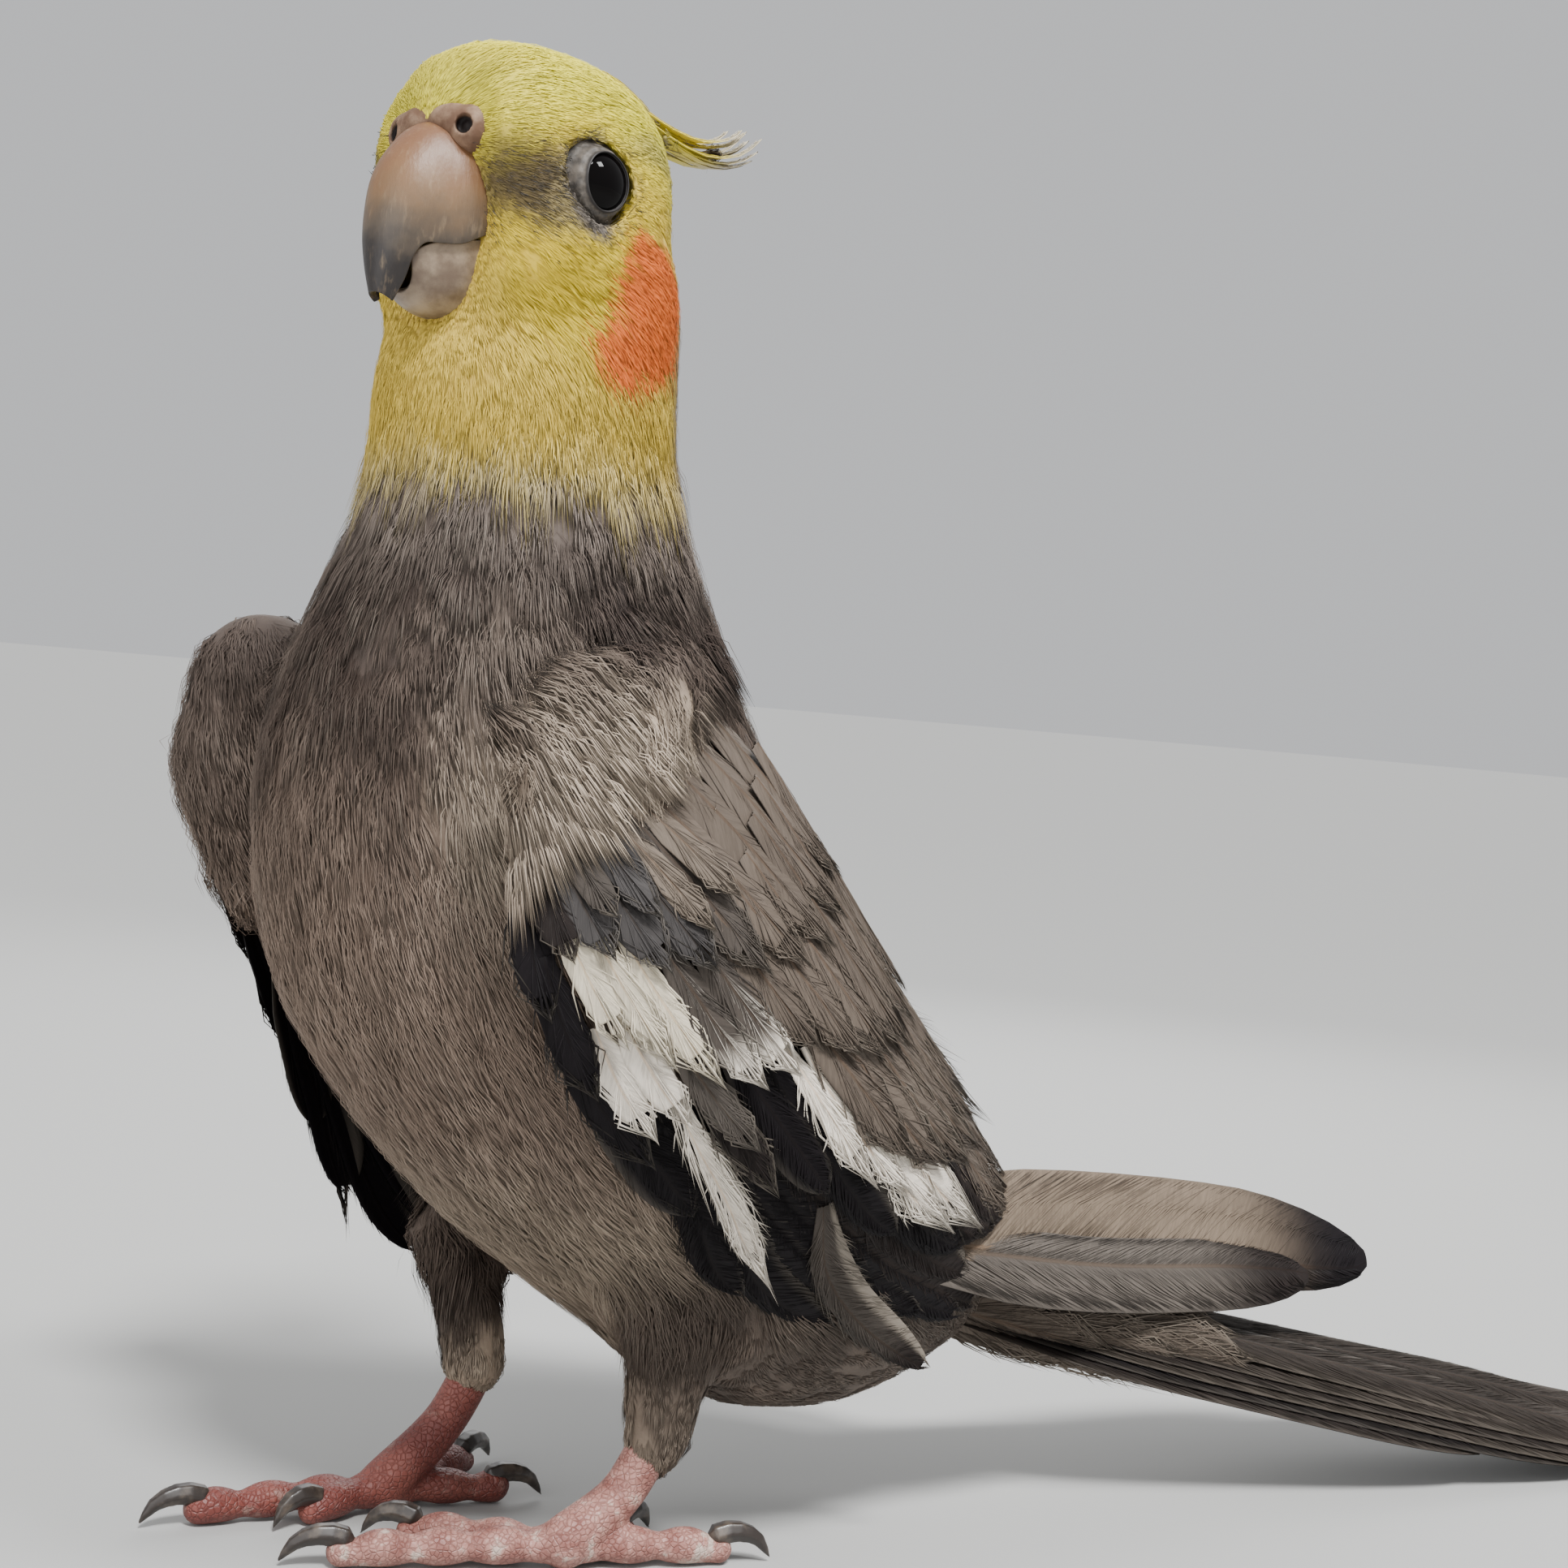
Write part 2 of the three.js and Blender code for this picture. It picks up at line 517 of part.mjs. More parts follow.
// ---------------------------------------------------------------- tail
// Middle line of the tail, from its root to the tip that rests on the floor, and its roll to the left.
const TAIL_LINE = new THREE.CatmullRomCurve3([
  V(0, 52, 25.5), V(4, 71, 20.5), V(8.5, 93, 15.8), V(12.5, 118, 10.5), V(15.5, 135, 7), V(18.5, 150, 3.9), V(22, 168, 1.9), V(28, 205, 0.45),
]);
const TAIL_ROLL = 17 * DEG;
function tailPoint(across, d, lift) {
  const t = clamp(d / 160, 0, 1);
  const centre = TAIL_LINE.getPointAt(t);
  const ahead = TAIL_LINE.getTangentAt(t);
  const roll = TAIL_ROLL * clamp((1 - t) * 2.2, 0, 1);
  const level = V(ahead.y, -ahead.x, 0).normalize();
  const up = level.clone().cross(ahead).normalize();
  const side = level.clone().multiplyScalar(Math.cos(roll)).addScaledVector(up, -Math.sin(roll));
  const lifted = side.clone().cross(ahead).normalize();
  return centre.addScaledVector(side, across).addScaledVector(lifted, lift);
}
// Six pairs of tail feathers from the middle outwards: length, how far aside the root and the tip lie, and the
// level on which the pair lies. The middle pair is the longest, on top, and rests on the floor with its tips.
const TAIL_PAIRS = [
  [160, 1.6, 2.2, 1.7],
  [149, 3.2, 5, 0.8],
  [133, 3.8, 6, -0.1],
  [116, 4.4, 7.4, -1],
  [98, 5, 9, -1.9],
  [80, 5.6, 10.4, -2.8],
];
const TAIL_HALF = 4.5;
function tailFeather([d0, d1], [a0, a1], [l0, l1], half, options) {
  const at = (s) => tailPoint(lerp(a0, a1, s), lerp(d0, d1, s), lerp(l0, l1, s));
  return feather(
    (s) => {
      const ahead = at(s + 0.01).sub(at(s - 0.01)).normalize();
      const side = tailPoint(1, lerp(d0, d1, s), 0).sub(tailPoint(-1, lerp(d0, d1, s), 0));
      return { point: at(s), normal: side.cross(ahead).normalize(), ahead };
    },
    half,
    options,
  );
}
const rectrices = TAIL_PAIRS.flatMap(([length, root, tip, level], k) =>
  sides.map((s) => {
    const over = k || s < 0 ? 0 : 0.9; // of the middle pair, the left feather lies over the right
    const end = k ? level + 0.2 : -0.3;
    return tailFeather([4, length], [s * root, s * tip], [level + over, end], TAIL_HALF - 0.12 * k, { cells: 4, tilt: -s * 0.3, columns: k ? 1 : 2 });
  }),
);
// Coverts over and under the root of the tail.
const tailCoverts = [-2, -1, 0, 1, 2].flatMap((k) => [
  tailFeather([0, 42 - 5 * Math.abs(k)], [k * 3.2, k * 2.8], [2.4, 3.6 - 0.4 * Math.abs(k)], 4.6, { cells: 2, tilt: -0.3 * k, columns: 1 }),
  tailFeather([2, 34 - 3 * Math.abs(k)], [k * 3, k * 3.2], [-4.2, -3.7], 4.8, { cells: 2, tilt: 0.3 * k, columns: 1 }),
]);
const tailRoot = solid(limb([V(0, 50, 26), V(1, 60, 23), V(4.5, 78, 18.6)], [7, 7.4, 2.2], 14, 8));

const floorBlock = new THREE.BoxGeometry(600, 600, 60);
floorBlock.translate(0, 0, -30);
const floor = solid(floorBlock); // what rests on the floor is cut flat on it
const tail = largest(join([tailRoot, ...rectrices, ...tailCoverts]).subtract(fleshRoom).subtract(floor));

const meshes = [];
const skin = (name, color, roughness) => new THREE.MeshStandardMaterial({ name, color, roughness, metalness: 0 });
const LOOKS = {
  head: skin("yellow_feathers", 0xd8c552, 0.9),
  body: skin("grey_feathers", 0x8b8078, 0.9),
  wing: skin("wing_feathers", 0x6d645e, 0.8),
  tail: skin("tail_feathers", 0x6a625d, 0.8),
  bill: skin("horn", 0x8f8374, 0.45),
  cere: skin("cere", 0xb08a78, 0.55),
  eye: skin("eye", 0x0c0a09, 0.05),
  foot: skin("foot_skin", 0xb5665a, 0.6),
  claw: skin("claw", 0x2c2826, 0.4),
};
function add(name, manifold, look) {
  const mesh = new THREE.Mesh(geometryOf(manifold), LOOKS[look].clone());
  mesh.name = name;
  meshes.push(mesh);
}

for (const [side, foot] of Object.entries(FEET)) {
  const { ball: middle, hock, toes } = foot;
  const near = (point, y, z) => point.clone().add(V(0, y, z));
  const tarsus = (grow) =>
    limb(
      [near(hock, 0.6, 1.5), hock.clone().lerp(middle, 0.5).add(V(0, 0, 1)), near(middle, -0.5, 2.4)],
      [2.6, 2.7, 3],
      10,
      6,
      grow,
    );
  const along = (heading) => (d, z) =>
    middle.clone().add(V(Math.sin(heading * DEG) * d, -Math.cos(heading * DEG) * d, z));
  const toe = ([, heading, length], grow) => {
    const on = along(heading);
    return limb(
      [on(0, 2.8), on(length * 0.25, 2.1), on(length * 0.6, 1.6), on(length * 0.85, 1.9), on(length, 2.4)],
      [1.3, 1.2, 1, 1, 0.75].map((r) => r * TOE_RADIUS),
      8,
      6,
      grow,
    );
  };
  const claw = ([, heading, length, clawLength]) => {
    const on = along(heading);
    const d = (part) => length + clawLength * part;
    return limb([on(length - 1, 2.4), on(d(0.3), 3.3), on(d(0.7), 2.6), on(d(0.98), 0.25)], [1.25, 1.2, 0.85, 0.2], 6, 7);
  };
  const footForm = (grow) => join([solid(tarsus(grow)), ...toes.map((t) => solid(toe(t, grow)))]);
  const footRoom = footForm(GAP);
  add("thigh_" + side, largest(shank(foot, 0).subtract(fleshRoom)), "body");
  add("foot_" + side, largest(footForm(0).subtract(shank(foot, GAP)).subtract(floor)), "foot");
  for (const t of toes)
    add(`claw_${side}_${t[0]}`, largest(solid(claw(t)).subtract(footRoom).subtract(floor)), "claw");
}

add("head", head, "head");
add("neck", neck, "body");
add("torso", torso, "body");
add("tail", tail, "tail");
add("wing_left", wingLeft, "wing");
add("wing_right", wingRight, "wing");
add("cere", cere, "cere");
add("beak_upper", largest(upperBill.subtract(fleshRoom)), "bill");
add("beak_lower", largest(lowerBill.subtract(fleshRoom)), "bill");
add("eye_left", eyeBall(1, 0), "eye");
add("eye_right", eyeBall(-1, 0), "eye");

// The origin is moved to the middle of the part's own box, on the floor.
const box = new THREE.Box3();
for (const mesh of meshes) box.expandByObject(mesh);
const middle = box.getCenter(V(0, 0, 0));
for (const mesh of meshes) mesh.geometry.translate(-middle.x, -middle.y, -box.min.z);

const group = new THREE.Group();
group.add(...meshes);
export default group;
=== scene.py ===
# %% [markdown]
# A cockatiel standing on the floor, life size, with its long tail laid out behind it.
# The model is still: one skin carries a coat of separate feathers, and the eyes, bill,
# cere, feet and claws are pieces of their own. All of them are made in the frame of the
# solids, so the frame is loaded first, and nothing has to be fitted to it afterwards.
# %% Frame and first measurements
import math
import bpy
import numpy as np
from mathutils import Vector, Matrix
from mathutils.bvhtree import BVHTree


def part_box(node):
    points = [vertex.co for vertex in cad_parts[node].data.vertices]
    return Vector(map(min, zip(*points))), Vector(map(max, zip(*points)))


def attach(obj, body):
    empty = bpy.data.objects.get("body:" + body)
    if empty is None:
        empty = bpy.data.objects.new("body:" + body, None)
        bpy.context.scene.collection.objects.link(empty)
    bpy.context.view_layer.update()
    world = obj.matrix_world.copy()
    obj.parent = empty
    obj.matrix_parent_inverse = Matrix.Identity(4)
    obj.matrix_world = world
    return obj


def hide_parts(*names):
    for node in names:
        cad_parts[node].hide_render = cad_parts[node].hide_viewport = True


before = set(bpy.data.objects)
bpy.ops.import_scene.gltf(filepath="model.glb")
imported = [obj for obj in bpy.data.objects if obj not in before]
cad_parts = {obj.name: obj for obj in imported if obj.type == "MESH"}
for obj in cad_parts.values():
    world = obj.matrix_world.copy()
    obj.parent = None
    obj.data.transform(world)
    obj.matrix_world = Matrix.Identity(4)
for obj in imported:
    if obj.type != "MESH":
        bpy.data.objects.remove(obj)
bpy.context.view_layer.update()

MM = 0.001
SIDES = ((1, "left"), (-1, "right"))
bpy.ops.object.select_all(action="DESELECT")
rng = np.random.default_rng(11)
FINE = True

# %% [markdown]
# A bird is easiest to describe from its own middle. It faces -Y, its left is +X, and the
# axes start on the floor under it. The head is turned to the left, so it has axes of its
# own as well. The left eye of the solids tells where the bird stands in the frame.
# %% The axes of the bird and of its head
LEFT_EYE = (11.70, -6.136, 135.5)
HEAD = np.array((1.5, -8.0, 134.0))
YAW = math.radians(17)
eye_low, eye_high = (np.array(corner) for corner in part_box("eye_left"))
ORIGIN = (eye_low + eye_high) / 2 - np.array(LEFT_EYE) * MM


def place(points):
    """Points in the bird's axes, in millimetres, become points of the frame, in metres."""
    return ORIGIN + np.asarray(points, float) * MM


def head_to_bird(points):
    """From the head's own axes (left, forwards, up) to the bird's."""
    p = np.asarray(points, float)
    left, ahead, up = p[..., 0], p[..., 1], p[..., 2]
    c, s = math.cos(YAW), math.sin(YAW)
    return HEAD + np.stack([left * c + ahead * s, left * s - ahead * c, up], -1)


def head_direction(directions):
    return head_to_bird(directions) - HEAD


def bird_to_head(points):
    p = np.asarray(points, float) - HEAD
    c, s = math.cos(YAW), math.sin(YAW)
    return np.stack([p[..., 0] * c + p[..., 1] * s, p[..., 0] * s - p[..., 1] * c, p[..., 2]], -1)


print("the bird stands at", [round(float(c) / MM, 2) for c in ORIGIN], "mm of the frame")

# %% [markdown]
# Feathers lie along lines and surfaces of the body. A few points say where a line goes,
# and a spline through them makes it smooth; one that keeps to its points without
# overshooting suits a body better than one that only comes near them.
# %% Smooth lines
def unit(v):
    return v / np.maximum(np.linalg.norm(v, axis=-1, keepdims=True), 1e-9)


def curve(points, t):
    """Points at t, 0 to 1, of a centripetal spline, straight on beyond its ends."""
    pts = np.asarray(points, float)
    ext = np.vstack([2 * pts[0] - pts[1], pts, 2 * pts[-1] - pts[-2]])
    t = np.asarray(t, float)
    x = np.clip(t, 0, 1) * (len(pts) - 1)
    i = np.minimum(x.astype(int), len(pts) - 2)
    f = (x - i)[..., None]
    a, b, c, d = ext[i], ext[i + 1], ext[i + 2], ext[i + 3]
    pairs = ((a, b), (b, c), (c, d))
    s0, s1, s2 = (np.sqrt(np.linalg.norm(q - p, axis=-1, keepdims=True)) for p, q in pairs)
    m0 = ((b - a) / s0 - (c - a) / (s0 + s1) + (c - b) / s1) * s1
    m1 = ((c - b) / s1 - (d - b) / (s1 + s2) + (d - c) / s2) * s1
    out = (2 * f**3 - 3 * f**2 + 1) * b + (f**3 - 2 * f**2 + f) * m0
    out = out + (3 * f**2 - 2 * f**3) * c + (f**3 - f**2) * m1
    over = np.where(t > 1, t - 1, 0)[..., None] * (len(pts) - 1)
    under = np.where(t < 0, -t, 0)[..., None] * (len(pts) - 1)
    return out + over * (pts[-1] - pts[-2]) + under * (pts[0] - pts[1])


def even(points, t):
    """Like curve, with t as a part of the line's length."""
    table = np.linspace(0, 1, 201)
    steps = np.linalg.norm(np.diff(curve(points, table), axis=0), axis=1)
    run = np.concatenate([[0], np.cumsum(steps)])
    inside = np.interp(np.clip(t, 0, 1), run / run[-1], table)
    return curve(points, np.where(t > 1, t, np.where(t < 0, t, inside)))


print("a quarter of the way round a bend:", even([(0, 0, 0), (1, 1, 0), (2, 0, 0)], 0.25).round(2))

# %% [markdown]
# A coat has some hundred thousand strands. Adding each one as an object would take hours,
# so their corners are worked out as arrays, and each piece is written as one mesh.
# %% Meshes from arrays
def mesh_object(name, verts, tris, attributes=(), uv=None):
    """One object from vertices in the bird's axes and triangles, with point attributes and a map."""
    mesh = bpy.data.meshes.new(name)
    tris = np.asarray(tris, np.int32)
    mesh.vertices.add(len(verts))
    mesh.vertices.foreach_set("co", np.asarray(place(verts), np.float32).ravel())
    mesh.loops.add(tris.size)
    mesh.loops.foreach_set("vertex_index", tris.ravel())
    mesh.polygons.add(len(tris))
    mesh.polygons.foreach_set("loop_start", np.arange(0, tris.size, 3, dtype=np.int32))
    mesh.update(calc_edges=True)
    mesh.polygons.foreach_set("use_smooth", np.ones(len(tris), bool))
    for key, kind, values in attributes:
        layer = mesh.attributes.new(key, kind, "POINT")
        field = {"FLOAT": "value", "FLOAT_VECTOR": "vector", "FLOAT_COLOR": "color"}[kind]
        layer.data.foreach_set(field, np.asarray(values, np.float32).ravel())
    if uv is not None:
        layer = mesh.uv_layers.new(name="OFBake")
        layer.data.foreach_set("uv", np.asarray(uv, np.float32)[tris.ravel()].ravel())
    mesh.validate()
    obj = bpy.data.objects.new(name, mesh)
    bpy.context.scene.collection.objects.link(obj)
    return obj


def read(things, key, width=3, kind=float):
    """One row of numbers for each thing, such as the places of vertices."""
    flat = np.zeros(len(things) * width, kind)
    things.foreach_get(key, flat)
    return flat.reshape(-1, width)


def triangles(obj):
    obj.data.calc_loop_triangles()
    return len(obj.data.loop_triangles)


# %% [markdown]
# Operators and modifiers work on what is selected, as they do by hand. These helpers select
# one object, change it, and start new forms from a copy of a solid or from a flat grid.
# %% Working on one object
def pick(*objects):
    bpy.ops.object.select_all(action="DESELECT")
    for o in objects:
        o.select_set(True)
    bpy.context.view_layer.objects.active = objects[0]


def modify(obj, kind, **settings):
    """Adds one modifier and applies it."""
    pick(obj)
    m = obj.modifiers.new(kind, kind)
    for key, value in settings.items():
        setattr(m, key, value)
    bpy.ops.object.modifier_apply(modifier=m.name)


def tidy_mesh(obj, distance=0.01 * MM):
    """Merges corners that lie on each other and turns the faces outwards."""
    pick(obj)
    bpy.ops.object.mode_set(mode="EDIT")
    bpy.ops.mesh.select_all(action="SELECT")
    bpy.ops.mesh.remove_doubles(threshold=distance)
    bpy.ops.mesh.normals_make_consistent(inside=False)
    bpy.ops.object.mode_set(mode="OBJECT")


def copy_of(node, name):
    """A merged copy of a solid, for forms that the solids already have."""
    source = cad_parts[node]
    obj = bpy.data.objects.new(name, source.data.copy())
    obj.data.name = name
    obj.data.materials.clear()
    bpy.context.scene.collection.objects.link(obj)
    obj.matrix_world = source.matrix_world
    tidy_mesh(obj)
    return obj


def flat_grid(name, columns, rows):
    """A square grid from -1 to 1, and the places of its vertices, to be bent to a form."""
    bpy.ops.mesh.primitive_grid_add(x_subdivisions=columns, y_subdivisions=rows, size=2)
    obj = bpy.context.object
    obj.name = obj.data.name = name
    return obj, read(obj.data.vertices, "co")


def bend_to(obj, points):
    """Moves the vertices to points in the bird's axes."""
    obj.data.vertices.foreach_set("co", place(points).ravel())


# %% [markdown]
# A material could be wired by hand in the shader editor. Here small helpers add the nodes
# and link them, so that each group and material stays short enough to read, and shared
# effects are groups of nodes that give only colours, masks and heights.
# %% Node helpers
ROW, NODE_WIDE, NODE_HIGH = 8, 220, 260


class Graph:
    """Adds nodes to one tree and links them."""

    def __init__(self, tree):
        self.tree = tree
        self.count = 0

    def settle(self, kind):
        """A new node, laid out in rows beside the others."""
        node = self.tree.nodes.new(kind)
        self.count += 1
        node.location = (NODE_WIDE * (self.count % ROW), -NODE_HIGH * (self.count // ROW))
        return node

    def add(self, kind, inputs=(), **settings):
        node = self.settle(kind)
        for key, value in settings.items():
            setattr(node, key, value)
        for key, value in dict(inputs).items():
            self.feed(node.inputs[key], value)
        return node

    def feed(self, socket, value):
        if isinstance(value, bpy.types.NodeSocket):
            self.tree.links.new(value, socket)
        else:
            socket.default_value = value

    def math(self, operation, a, b=0.0, c=0.0):
        return self.add("ShaderNodeMath", {0: a, 1: b, 2: c}, operation=operation).outputs[0]

    def vector(self, operation, a, b=(0, 0, 0), scale=None):
        node = self.add("ShaderNodeVectorMath", {0: a, 1: b}, operation=operation)
        if scale is not None:
            self.feed(node.inputs["Scale"], scale)
        return node.outputs["Value" if operation in ("LENGTH", "DOT_PRODUCT") else "Vector"]

    def split(self, vector):
        return self.add("ShaderNodeSeparateXYZ", {0: vector}).outputs

    def ramp(self, value, low, high, out_low=0.0, out_high=1.0):
        keys = {"Value": value, "From Min": low, "From Max": high, "To Min": out_low, "To Max": out_high}
        return self.add("ShaderNodeMapRange", keys, interpolation_type="SMOOTHSTEP").outputs["Result"]

    def mix(self, factor, a, b, blend="MIX"):
        node = self.add("ShaderNodeMix", data_type="RGBA", blend_type=blend)
        self.feed(node.inputs[0], factor)
        self.feed(node.inputs[6], a)
        self.feed(node.inputs[7], b)
        return node.outputs[2]

    def noise(self, vector, scale, detail=3.0, roughness=0.55, out="Fac"):
        keys = {"Vector": vector, "Scale": scale, "Detail": detail, "Roughness": roughness}
        return self.add("ShaderNodeTexNoise", keys).outputs[out]

    def bump(self, height, strength, distance):
        keys = {"Height": height, "Strength": strength, "Distance": distance}
        return self.add("ShaderNodeBump", keys).outputs["Normal"]

    def attribute(self, name, out="Fac"):
        return self.add("ShaderNodeAttribute", attribute_name=name).outputs[out]

    def coordinates(self):
        return self.add("ShaderNodeTexCoord").outputs["Object"]

    def group(self, name, **inputs):
        node = self.settle("ShaderNodeGroup")
        node.node_tree = bpy.data.node_groups[name]
        node.label = name
        for key, value in inputs.items():
            self.feed(node.inputs[key.replace("_", " ")], value)
        return node


def new_group(name, inputs, outputs):
    """A node group with named sockets; each is (name, kind, default)."""
    tree = bpy.data.node_groups.new(name, "ShaderNodeTree")
    for direction, sockets in (("INPUT", inputs), ("OUTPUT", outputs)):
        for label, kind, *default in sockets:
            kind = "NodeSocket" + kind
            socket = tree.interface.new_socket(name=label, in_out=direction, socket_type=kind)
            if default:
                socket.default_value = default[0]
    graph = Graph(tree)
    start, end = graph.add("NodeGroupInput"), graph.add("NodeGroupOutput")
    end.location = (1900, 0)
    return graph, start.outputs, end.inputs


def new_material(name, roughness=0.6, **constants):
    material = bpy.data.materials.new(name)
    material.use_nodes = True
    shader = material.node_tree.nodes["Principled BSDF"]
    shader.inputs["Roughness"].default_value = roughness
    for key, value in constants.items():
        shader.inputs[key.replace("_", " ")].default_value = value
    return material, Graph(material.node_tree), shader.inputs


# %% [markdown]
# The markings belong to the bird and not to one piece: the skin and each feather ask the
# same groups for the colour at a place, a feather at its root. The smallest of these
# groups is a soft blob, which is 1 inside an ellipsoid and fades to 0 over its edge.
# %% The soft blob group
g, gin, gout = new_group(
    "Soft blob",
    [
        ("Position", "Vector"), ("Centre", "Vector"), ("Radii", "Vector", (1, 1, 1)),
        ("Softness", "Float", 0.2),
    ],
    [("Mask", "Float")],
)
from_centre = g.vector("SUBTRACT", gin["Position"], gin["Centre"])
reach = g.vector("LENGTH", g.vector("DIVIDE", from_centre, gin["Radii"]))
inner = g.math("SUBTRACT", 1.0, gin["Softness"])
outer = g.math("ADD", 1.0, gin["Softness"])
g.feed(gout["Mask"], g.ramp(reach, inner, outer, 1.0, 0.0))
print(g.tree.name, "has", len(g.tree.nodes), "nodes")

# %% [markdown]
# A grey cockatiel is marked in large soft areas: a yellow face with an orange cheek, a dark
# breast, and a paler belly and vent. Painted images would have to be made for each piece.
# Blobs and bands in the bird's axes are worked out at any place, so they fit all pieces.
# %% The colours of the body
GREYS = {
    "neck": (0.22, 0.178, 0.15, 1), "breast": (0.050, 0.035, 0.029, 1), "belly": (0.28, 0.205, 0.158, 1),
    "vent": (0.38, 0.305, 0.23, 1), "back": (0.12, 0.094, 0.076, 1), "leg": (0.10, 0.075, 0.06, 1),
    "shaded leg right": (0.05, 0.033, 0.025, 1), "sand": (0.50, 0.405, 0.31, 1),
    "shaded shoulder right": (0.165, 0.128, 0.108, 1), "pale patch": (0.26, 0.20, 0.16, 1),
    "dark patch": (0.055, 0.039, 0.032, 1), "pale fleck": (0.26, 0.205, 0.165, 1),
}
# painted shade: the right leg and shoulder, on the far side away from the light, take darker greys than the
# near ones
BODY_BLOBS = (
    ((14, 14, 32), (9, 10, 14), "leg"),
    ((-15, 1, 32), (11, 13, 16), "shaded leg right"),
    ((25, -6, 79), (12, 15, 11), "sand"),
    ((-28, -14, 82), (9, 13, 14), "shaded shoulder right"),
)
FLECKS = (((17.8, -12, 94), (6, 6, 4)), ((18.5, -15, 86.5), (4, 5, 6)))
g, gin, gout = new_group("Plumage", [("Position", "Vector")], [("Color", "Color"), ("Face", "Float")])


def blob(centre, radii, softness, position):
    node = g.group("Soft blob", Position=position, Centre=centre, Radii=radii, Softness=softness)
    return node.outputs[0]


bird = g.vector("SCALE", g.vector("SUBTRACT", gin["Position"], tuple(ORIGIN)), scale=1 / MM)
wander = g.vector("SUBTRACT", g.noise(bird, 0.16, 4.0, out="Color"), (0.5, 0.5, 0.5))
loose = g.vector("ADD", bird, g.vector("SCALE", wander, scale=6.0))
xyz = g.split(loose)
height = xyz[2]
body = g.mix(g.ramp(height, 62, 96), GREYS["belly"], GREYS["breast"])
body = g.mix(g.ramp(height, 96, 108), body, GREYS["neck"])
body = g.mix(g.ramp(height, 52, 34), body, GREYS["vent"])
body = g.mix(g.ramp(xyz[1], 6, 22), body, GREYS["back"])
for centre, radii, grey in BODY_BLOBS:
    body = g.mix(blob(centre, radii, 0.35, loose), body, GREYS[grey])
patches = g.noise(bird, 0.12, 2.0, 0.45)
body = g.mix(g.ramp(patches, 0.5, 0.68, 0.0, 0.3), body, GREYS["pale patch"])
body = g.mix(g.ramp(patches, 0.46, 0.34, 0.0, 0.35), body, GREYS["dark patch"])
for centre, radii in FLECKS:
    body = g.mix(g.math("MULTIPLY", blob(centre, radii, 0.5, loose), 0.5), body, GREYS["pale fleck"])
print(len(BODY_BLOBS) + len(FLECKS), "areas on the body")

# %% [markdown]
# The marks of the face are the same on both sides, so a place on the right is looked up as
# if it were on the left. Ahead of the eye the yellow turns sooty, and the orange cheek has
# a small lobe that runs down behind the bill.
# %% The colours of the head
YELLOWS = {"crown": (0.97, 0.87, 0.06, 1), "cheek": (0.86, 0.63, 0.04, 1), "throat": (0.80, 0.57, 0.09, 1)}
COLLAR = (0.60, 0.50, 0.26, 1)
ORANGE = (0.90, 0.19, 0.035, 1)
LORE = (0.22, 0.19, 0.165, 1)
SOOT = (0.07, 0.048, 0.032, 1)
OLIVE = (0.36, 0.29, 0.07, 1)
FACE_BLOBS = {
    # centre and radii in the head's axes, with -Y forwards, and softness
    "cheek": ((13.0, 4.7, -8.7), (6.5, 5.3, 6.9), 0.12),
    "lobe": ((13.5, 0.9, -12.6), (6, 3.3, 3.0), 0.16),
    "lore": ((10, -6.4, 0.4), (6, 4.6, 3.6), 0.45),
    "round the eye": ((12.5, -2.4, 1.2), (5, 4.6, 4.6), 0.25),
    "streak": ((12, 6.5, 6.5), (5, 5.5, 1.8), 0.5),
    "soot": ((9.4, -9.4, 1.2), (3.6, 2.8, 4.0), 0.6),
    "olive": ((3, -11, 9.5), (6, 4, 3.2), 0.6),
    "yellow cheek": ((12, -4, -4), (6, 10, 10), 0.5),
}
local = g.add(
    "ShaderNodeVectorRotate",
    {"Vector": g.vector("SUBTRACT", loose, tuple(HEAD)), "Axis": (0, 0, 1), "Angle": -YAW},
    rotation_type="AXIS_ANGLE",
).outputs[0]
parts = g.split(local)
folded = g.add("ShaderNodeCombineXYZ", {0: g.math("ABSOLUTE", parts[0]), 1: parts[1], 2: parts[2]})
mark = {name: blob(*form, folded.outputs[0]) for name, form in FACE_BLOBS.items()}
yellow = g.mix(g.ramp(parts[2], -4, 9), YELLOWS["throat"], YELLOWS["crown"])
yellow = g.mix(mark["yellow cheek"], yellow, YELLOWS["cheek"])
yellow = g.mix(g.ramp(height, 114.5, 108.5, 0.0, 0.75), yellow, COLLAR)
head_mask = g.math("MULTIPLY", g.ramp(height, 107.0, 110.5), g.ramp(parts[1], 13, 7))
crown_mask = g.math("MULTIPLY", g.ramp(parts[2], 9, 13), g.ramp(parts[1], 30, 8))
face_mask = g.math("MAXIMUM", head_mask, crown_mask)
colour = g.mix(face_mask, body, yellow)
colour = g.mix(g.math("MAXIMUM", mark["cheek"], mark["lobe"]), colour, ORANGE)
grey_face = g.math("MAXIMUM", mark["round the eye"], g.math("MULTIPLY", mark["streak"], 0.45))
grey_face = g.math("MAXIMUM", g.math("MULTIPLY", mark["lore"], 0.75), grey_face)
colour = g.mix(g.math("MULTIPLY", mark["olive"], 0.4), colour, OLIVE)
colour = g.mix(grey_face, colour, LORE)
colour = g.mix(g.math("MULTIPLY", mark["soot"], 0.85), colour, SOOT)
g.feed(gout["Color"], colour)
g.feed(gout["Face"], face_mask)
print(len(FACE_BLOBS), "areas on the head")
